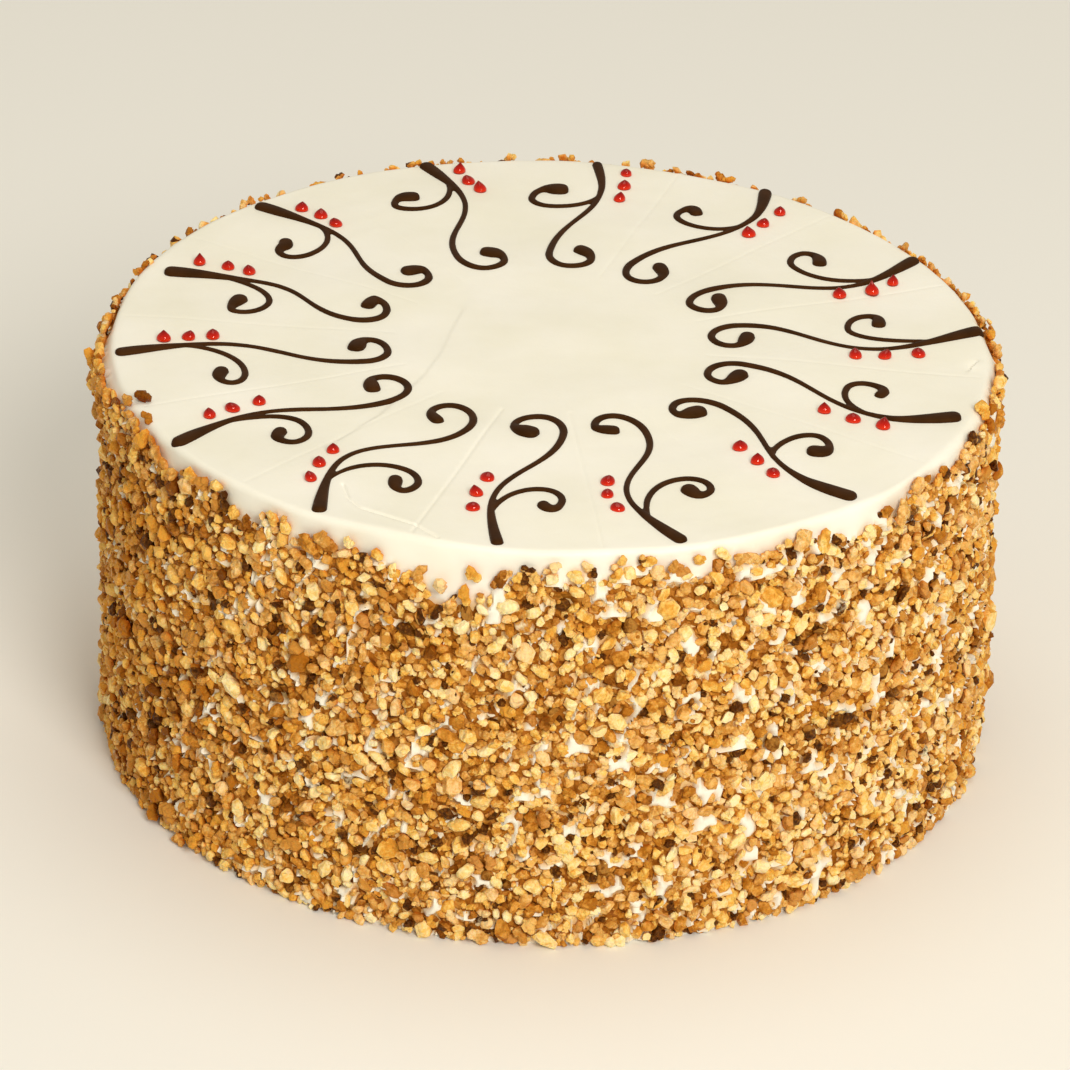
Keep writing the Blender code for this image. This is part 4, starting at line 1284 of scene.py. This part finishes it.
def solid_chunks():
    """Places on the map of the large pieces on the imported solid: its points that stand out most."""
    places = corners(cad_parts["cake"])
    radius = np.hypot(places[:, 0], places[:, 1])
    proud = places[(radius > ICING_RADIUS + CHUNK_PROUD) & (places[:, 2] < CAKE_HEIGHT - CHUNK_BELOW)]
    found = []
    for x, y, z in proud[np.argsort(-np.hypot(proud[:, 0], proud[:, 1]))]:
        place = np.array((math.atan2(y, x) % (2 * math.pi) * ICING_RADIUS, z - WALL_TOP))
        if all(np.hypot(*(place - other)) > CHUNK_APART for other in found):
            found.append(place)
    return found


def sow(random):
    """Places (around, climb) and lengths of all pieces, largest first."""
    columns, rows = int(GIRTH / CELL), int((HIGHEST - LOWEST) / CELL)
    around = (np.arange(columns) + 0.5) * GIRTH / columns
    climb = LOWEST + (np.arange(rows) + 0.5) * CELL
    grid_around, grid_climb = np.meshgrid(around, climb, indexing="ij")
    taken = (vein(grid_around, grid_climb) > 0) | (grid_climb > coat_edge(around)[:, None])
    full = np.zeros_like(taken)
    sown = []

    def cover(column, row, length):
        reach = COVERS * length / CELL
        steps = np.arange(-int(reach), int(reach) + 1)
        across, up = np.meshgrid(steps, steps, indexing="ij")
        round_patch = across ** 2 + up ** 2 <= reach ** 2
        columns_hit = (column + across[round_patch]) % columns
        rows_hit = row + up[round_patch]
        inside = (rows_hit >= 0) & (rows_hit < rows)
        return columns_hit[inside], rows_hit[inside]

    def set_down(along, up, length):
        full[cover(int(along / GIRTH * columns), int((up - LOWEST) / CELL), length)] = True
        sown.append((along, up, length))

    for along, up in CHUNKS:
        set_down(along, up, random.uniform(*CHUNK_LENGTHS) * MM)
    for along, up, length, _ in LONE_NUTS:
        set_down(along % GIRTH, up, length)
    for longest, shortest, may_overlap, most in SIZES:
        free = np.flatnonzero(~(full | taken).ravel())
        random.shuffle(free)
        count = 0
        for index in free:
            column, row = divmod(int(index), rows)
            if full[column, row]:
                continue
            length = random.uniform(shortest, longest) * MM
            hit = cover(column, row, length)
            if full[hit].mean() > may_overlap or taken[hit].mean() > OFF_COAT:
                continue
            full[hit] = True
            sown.append((around[column], climb[row], length))
            count += 1
            if count >= most:
                break
    print("bare share of the coat", round(float((~(full | taken)).sum() / (~taken).sum()), 3))
    return np.array(sown)


CHUNKS = solid_chunks()
LONE_NUTS = lone_nuts()
LONE_FROM, LONE_TO = len(CHUNKS), len(CHUNKS) + len(LONE_NUTS)
nuts = sow(np.random.default_rng(31))
print("pieces", len(nuts))

# %% [markdown]
# ## Kinds of nut
# Blanched flesh is cream to gold, toasted flesh tan, well roasted flesh brown, and some pieces wear a
# dark skin. Each kind is one joined piece with its own finish. Every copy carries three numbers in a
# colour attribute: its tone, how much skin its rounded faces keep, and how much icing is smeared over
# it. The tone also varies a little from face to face. A fourth number says how far out a corner lies.

# %% Build joined copies
# kind: share of the pieces, how many of them keep skin on one side, which patterns
KINDS = {
    "nuts_blanched": (0.14, 0.03, angular + rounded),
    "nuts_golden": (0.30, 0.05, crumbly + angular),
    "nuts_tan": (0.29, 0.08, crumbly + angular),
    "nuts_toasted": (0.18, 0.15, crumbly + angular),
    "nuts_roasted": (0.06, 0.3, crumbly + angular),
    "nuts_dark_skinned": (0.02, 1.0, angular),
}


def unit(vectors):
    return vectors / np.linalg.norm(vectors, axis=1)[:, None]


def turn_matrices(outward, random, tilt):
    """For each piece a frame whose X points outward, turned at random about it and tilted."""
    count = len(outward)
    up = np.broadcast_to((0.0, 0.0, 1.0), outward.shape)
    flat_top = np.abs(outward[:, 2]) > 0.9
    up = np.where(flat_top[:, None], (1.0, 0.0, 0.0), up)
    side = unit(np.cross(up, outward))
    up = np.cross(outward, side)
    spin = random.uniform(0, 2 * math.pi, count)
    first = np.cos(spin)[:, None] * side + np.sin(spin)[:, None] * up
    second = np.cross(outward, first)
    lean = random.normal(0, tilt, (count, 2))
    x = unit(outward + lean[:, :1] * first + lean[:, 1:] * second)
    y = unit(first - (first * x).sum(axis=1)[:, None] * x)
    return np.stack([x, y, np.cross(x, y)], axis=2)


def joined_copies(name, patterns, choice, centres, frames, sizes, marks_of):
    """One mesh of many turned, stretched copies. marks_of gives each face corner its numbers."""
    blocks = []
    offset = 0
    for number, (places, faces, flat_faces, skin) in enumerate(patterns):
        mine = np.flatnonzero(choice == number)
        if not len(mine):
            continue
        stretched = places[None] * sizes[mine][:, None, :]
        moved = np.einsum("nij,nkj->nki", frames[mine], stretched) + centres[mine][:, None, :]
        moved[:, :, 2] = np.maximum(moved[:, :, 2], 0)
        loops = np.concatenate([np.array(face) for face in faces])
        lengths = np.array([len(face) for face in faces])
        starts = offset + np.arange(len(mine)) * len(places)
        outness = (places[:, 0] - places[:, 0].min()) / np.ptp(places[:, 0])
        marks = np.column_stack([marks_of(mine, skin, lengths).reshape(-1, 3),
                                 np.tile(outness[loops], len(mine))])
        blocks.append((moved.reshape(-1, 3), (starts[:, None] + loops[None]).ravel(),
                       np.tile(lengths, len(mine)), marks, np.tile(flat_faces, len(mine))))
        offset += len(mine) * len(places)
    vertices, loops, lengths, marks, flat_faces = (np.concatenate(block) for block in zip(*blocks))
    mesh = bpy.data.meshes.new(name)
    mesh.vertices.add(len(vertices))
    mesh.vertices.foreach_set("co", vertices.astype(np.float32).ravel())
    mesh.loops.add(len(loops))
    mesh.loops.foreach_set("vertex_index", loops.astype(np.int32))
    mesh.polygons.add(len(lengths))
    mesh.polygons.foreach_set("loop_start", np.concatenate([[0], np.cumsum(lengths)[:-1]]).astype(np.int32))
    mesh.update(calc_edges=True)
    layer = mesh.attributes.new("piece_marks", "FLOAT_COLOR", "CORNER")
    layer.data.foreach_set("color", marks.astype(np.float32).ravel())
    flat = mesh.attributes.new("sharp_face", "BOOLEAN", "FACE")
    flat.data.foreach_set("value", flat_faces)
    return add_object(name, mesh)


print("kinds", len(KINDS))

# %% [markdown]
# ## Press the nuts in
# A piece sits with about a quarter of its thickness in the meal. Some stand further out, as if on
# others. Some were pressed deep and are smeared with icing, mostly near the veins.

# %% Place every kind
NUT_SEAT = 0.55 * MM
FULLER = 1.06                # than the length that a piece was sown with
THICKNESS = 0.66             # of the length, across the flat side
STANDS_OUT = (0.12, 0.38)    # of the thickness
NUT_TILT = 0.28              # radians
PILED = 0.18                 # share of the pieces that stand further out
PILE_UP = 1.1 * MM
DEEP, DEEP_BY_VEIN = 0.06, 0.4               # shares of the pieces that were pressed deep
DEEPER = 0.16                # of the length
SMEARED = 0.5                # share of the deep ones
LOWEST_REACH = 0.36          # of the length: no piece's middle is closer to the ground
TONE_SPREAD = 0.07           # from face to face
TONE_SHIFT = -0.05
BESIDE = -1.0                # value of the vein field from which a piece lies beside one
# painted shade by bearing in degrees: how much browner the nuts' tone is set, most on the left, a little
# toward the right rim, where less light falls
SHADE_BY_BEARING = ((-180, 0.5), (-150, 0.48), (-128, 0.16), (-100, -0.06), (-60, -0.1), (-42, -0.1), (-22, 0.06),
           (0, 0.2), (90, 0.1), (180, 0.28))


def press_kind(name, mine, patterns, skin_share, random):
    around, climb, length = nuts[mine].T
    count = len(mine)
    point, outward = from_map(around, climb)
    stretch = np.stack([random.uniform(0.7, 1.05, count), random.uniform(0.85, 1.25, count),
                        random.uniform(0.75, 1.05, count)], axis=1)
    sizes = stretch * length[:, None] * FULLER
    thick = sizes[:, 0] * THICKNESS
    frames = turn_matrices(outward, random, NUT_TILT)
    proud = NUT_SEAT + thick * random.uniform(*STANDS_OUT, count)
    proud += PILE_UP * (random.random(count) < PILED) * random.uniform(0.4, 1.3, count)
    beside = vein(around, climb) > BESIDE
    alone = (mine >= LONE_FROM) & (mine < LONE_TO)
    deep = ~alone & ((random.random(count) < DEEP) | (beside & (random.random(count) < DEEP_BY_VEIN)))
    proud[deep] -= DEEPER * length[deep]
    centres = point + outward * (proud + bulge(around, climb))[:, None]
    centres[:, 2] -= np.minimum(centres[:, 2] - LOWEST_REACH * length, 0)
    choice = random.integers(0, len(patterns), count)
    choice[alone] %= len(crumbly)
    # Each piece's tone is random, plus painted shade by its bearing.
    tone = random.random(count) + by_bearing(SHADE_BY_BEARING, around)
    smear = np.where(deep & (random.random(count) < SMEARED), random.uniform(0.5, 1.0, count), 0)
    smear *= name not in ("nuts_roasted", "nuts_dark_skinned")
    keeps_skin = random.random(count) < skin_share
    browned = np.maximum(random.uniform(-0.2, 0.6, count), 0)

    def marks_of(copies, skin, lengths):
        marks = np.zeros((len(copies), len(skin), 3))
        marks[:, :, 0] = tone[copies][:, None] + TONE_SHIFT + browned[copies][:, None] * skin[None]
        face_tones = random.normal(0, TONE_SPREAD, (len(copies), len(lengths)))
        marks[:, :, 0] += np.repeat(face_tones, lengths, axis=1)
        marks[:, :, 1] = keeps_skin[copies][:, None] * skin[None]
        marks[:, :, 2] = smear[copies][:, None]
        return marks

    return joined_copies(name, patterns, choice, centres, frames, sizes, marks_of)


random = np.random.default_rng(41)
shares = np.array([kind[0] for kind in KINDS.values()])
kind_of = random.choice(len(KINDS), len(nuts), p=shares / shares.sum())
kind_of[LONE_FROM:LONE_TO] = [list(KINDS).index(row[3]) for row in LONE_NUTS]
coat = {}
for number, (name, (_, skin_share, patterns)) in enumerate(KINDS.items()):
    coat[name] = press_kind(name, np.flatnonzero(kind_of == number), patterns, skin_share, random)
    print(name, "pieces", int((kind_of == number).sum()), "triangles", triangles(coat[name]))

# %% [markdown]
# ## Crumbs
# Between the pieces lie crumbs of one to two and a half millimetres, lighter where they are flesh and
# dark where they are skin. They have twenty faces each, because there are thousands, and they sit
# anywhere that the coat reaches, on the meal and in the gaps beside the veins.

# %% Scatter the crumbs
CRUMB_COUNT = 8800           # tried: those off the coat are dropped
CRUMB_LENGTHS = (1.0, 2.6)
CRUMB_OUT = (0.5, 2.2)       # mm beyond the icing
CRUMB_TILT = 0.6
CRUMB_STOP = 0.5 * MM        # below the coat's edge
CRUMB_SKINS = 0.12           # share of them


def scatter_crumbs(random):
    around = random.uniform(0, GIRTH, CRUMB_COUNT)
    climb = random.uniform(LOWEST + 0.6 * MM, HIGHEST, CRUMB_COUNT)
    inside = (climb < coat_edge(around) - CRUMB_STOP) & (vein(around, climb) < 0.1)
    around, climb = around[inside], climb[inside]
    count = len(around)
    point, outward = from_map(around, climb)
    length = random.uniform(*CRUMB_LENGTHS, count) * MM
    centres = point + outward * (random.uniform(*CRUMB_OUT, count) * MM + bulge(around, climb))[:, None]
    centres[:, 2] = np.maximum(centres[:, 2], 0.5 * length)
    sizes = length[:, None] * random.uniform(0.75, 1.2, (count, 3))
    frames = turn_matrices(outward, random, CRUMB_TILT)
    tone = random.random(count)
    skin = random.random(count) < CRUMB_SKINS

    def marks_of(copies, skin_there, lengths):
        marks = np.zeros((len(copies), len(skin_there), 3))
        marks[:, :, 0] = tone[copies][:, None]
        marks[:, :, 1] = skin[copies][:, None]
        return marks

    choice = random.integers(0, len(crumb), count)
    return joined_copies("nut_crumbs", crumb, choice, centres, frames, sizes, marks_of)


crumbs = scatter_crumbs(np.random.default_rng(51))
print("crumb triangles", triangles(crumbs))

# %% [markdown]
# ## Finish: hazelnut flesh and skin
# Roasting browns the outside of the flesh and leaves the middle pale, so each piece has its own
# tone on a ramp, mottled by small patches. The skin is a dry dark brown film with paler streaks.
# Cut flesh is slightly oily and has a soft sheen.

# %% Make the nuts' finishes
SKIN = ((0.25, "#2A1203"), (0.55, "#5A2E0A"), (0.8, "#98641E"))
FLESH = {
    "nuts_blanched": ((0.0, "#FEEBB8"), (0.5, "#FADC94"), (1.0, "#EAB85E")),
    "nuts_golden": ((0.0, "#FBE0A0"), (0.5, "#F4C669"), (1.0, "#DE9C3A")),
    "nuts_tan": ((0.0, "#F6D49A"), (0.5, "#E8B466"), (1.0, "#C88A3A")),
    "nuts_toasted": ((0.0, "#EABA6C"), (0.5, "#D8963C"), (1.0, "#AE6C1C")),
    "nuts_roasted": ((0.0, "#D0924A"), (0.5, "#B06E22"), (1.0, "#7C440A")),
    "nuts_dark_skinned": ((0.0, "#B07A34"), (0.5, "#7C4A12"), (1.0, "#4A2606")),
    "nut_crumbs": ((0.0, "#FCD488"), (0.5, "#E0A44A"), (1.0, "#AE6C1E")),
}


def nut_flesh(name, stops):
    finish, shader = new_finish(name + "_flesh")
    place = place_on(finish)
    own = read_note(finish, "piece_marks")
    split = add_node(finish, "ShaderNodeSeparateColor", {"Color": own["Color"]}).outputs
    patch = soft_noise(finish, place, 1.9 * MM, 3.0, 0.6)
    shift = map_range(finish, patch, 0.32, 0.68, -0.4, 0.35)
    shifted = arithmetic(finish, "ADD", split["Red"], shift)
    speck = soft_noise(finish, place, 0.7 * MM, 2.0, 0.7)
    finer = map_range(finish, speck, 0.34, 0.66, -0.14, 0.16)
    flesh = ramp(finish, arithmetic(finish, "ADD", shifted, finer, clamp=True), stops)
    streak = soft_noise(finish, place, 0.9 * MM, 2.0)
    skin = ramp(finish, streak, SKIN)
    torn = arithmetic(finish, "MULTIPLY_ADD", streak, 0.5, split["Green"])
    skinned = mix(finish, map_range(finish, torn, 0.66, 0.78), flesh, skin)
    cover = map_range(finish, patch, 0.42, 0.62)
    smear = arithmetic(finish, "MULTIPLY", split["Blue"], cover, clamp=True)
    smeared = mix(finish, smear, skinned, "#F6E6BE")
    # Light that has bounced about between the pieces is deep orange-brown.
    depth = map_range(finish, own["Alpha"], 0.0, 0.55, 1.0, 0.0)
    sunk = mix(finish, depth, smeared, "#EAAC5A", blend_type="MULTIPLY")
    # Broken flesh is granular: cells of just over a millimetre, with finer pits between them.
    grains = cells(finish, place, 1.3 * MM)["Distance"]
    lumps = relief(finish, grains, 0.7, 0.6 * MM, invert=True)
    plug(finish, shader, {"Base Color": sunk, "Normal": relief(finish, streak, 0.7, 0.35 * MM, lumps),
                          "Roughness": 0.45, "IOR": 1.46, "Specular IOR Level": 0.2,
                          "Specular Tint": "#F6D8A0", "Subsurface Weight": 0.2,
                          "Subsurface Radius": (1.0, 0.45, 0.15), "Subsurface Scale": 0.9 * MM})
    return finish


for name, piece in {**coat, "nut_crumbs": crumbs}.items():
    put_on(piece, nut_flesh(name, FLESH[name]), slot="iced_cake")


def nut_meal():
    finish, shader = new_finish("nut_meal")
    grains = cells(finish, place_on(finish), 1.4 * MM)
    tone = ramp(finish, grains["Color"], [(0.1, "#86490A"), (0.5, "#AE6C1A"), (0.9, "#D49A46")])
    plug(finish, shader, {"Base Color": tone,
                          "Normal": relief(finish, grains["Distance"], 0.7, 0.5 * MM, invert=True),
                          "Roughness": 0.65, "Specular IOR Level": 0.15})
    return finish


put_on(meal, nut_meal(), slot="iced_cake")

# %% [markdown]
# ## Stage and light
# A plain pale floor, a bright soft room and two soft lamps: a key from the right, above the camera, and
# a wide weak one from above. The left side of the wall is left a little darker.

# %% Floor, sky and lamps
FLOOR_SIZE = 8.0


def floor():
    deselect()
    bpy.ops.mesh.primitive_plane_add(size=FLOOR_SIZE, location=(0, 0, 0))
    made = bpy.context.object
    made.name = "floor"
    finish, shader = new_finish("pale_floor")
    plug(finish, shader, {"Base Color": "#F3F2EE", "Roughness": 0.7})
    made.data.materials.append(finish)


def lamp(name, place, aim, size, power, shown):
    data = bpy.data.lights.new(name, "AREA")
    data.shape = "DISK"
    data.size = size
    data.energy = power
    data.color = linear(shown)[:3]
    made = add_object(name, data)
    made.location = place
    made.rotation_euler = (Vector(aim) - Vector(place)).to_track_quat("-Z", "Y").to_euler()


floor()
lamp("key", (0.54, -1.58, 1.25), (0, 0, 0.06), 0.8, 25.6, "#FFF9EE")
lamp("ceiling", (0.1, 0.3, 2.2), (0, 0, 0.1), 1.6, 10, "#FFFAF0")
world = bpy.data.worlds.new("soft_room")
world.use_nodes = True
plug(world, world.node_tree.nodes["Background"], {"Color": "#FFF8E6", "Strength": 0.48})
bpy.context.scene.world = world
bpy.context.scene.view_settings.view_transform = "Standard"
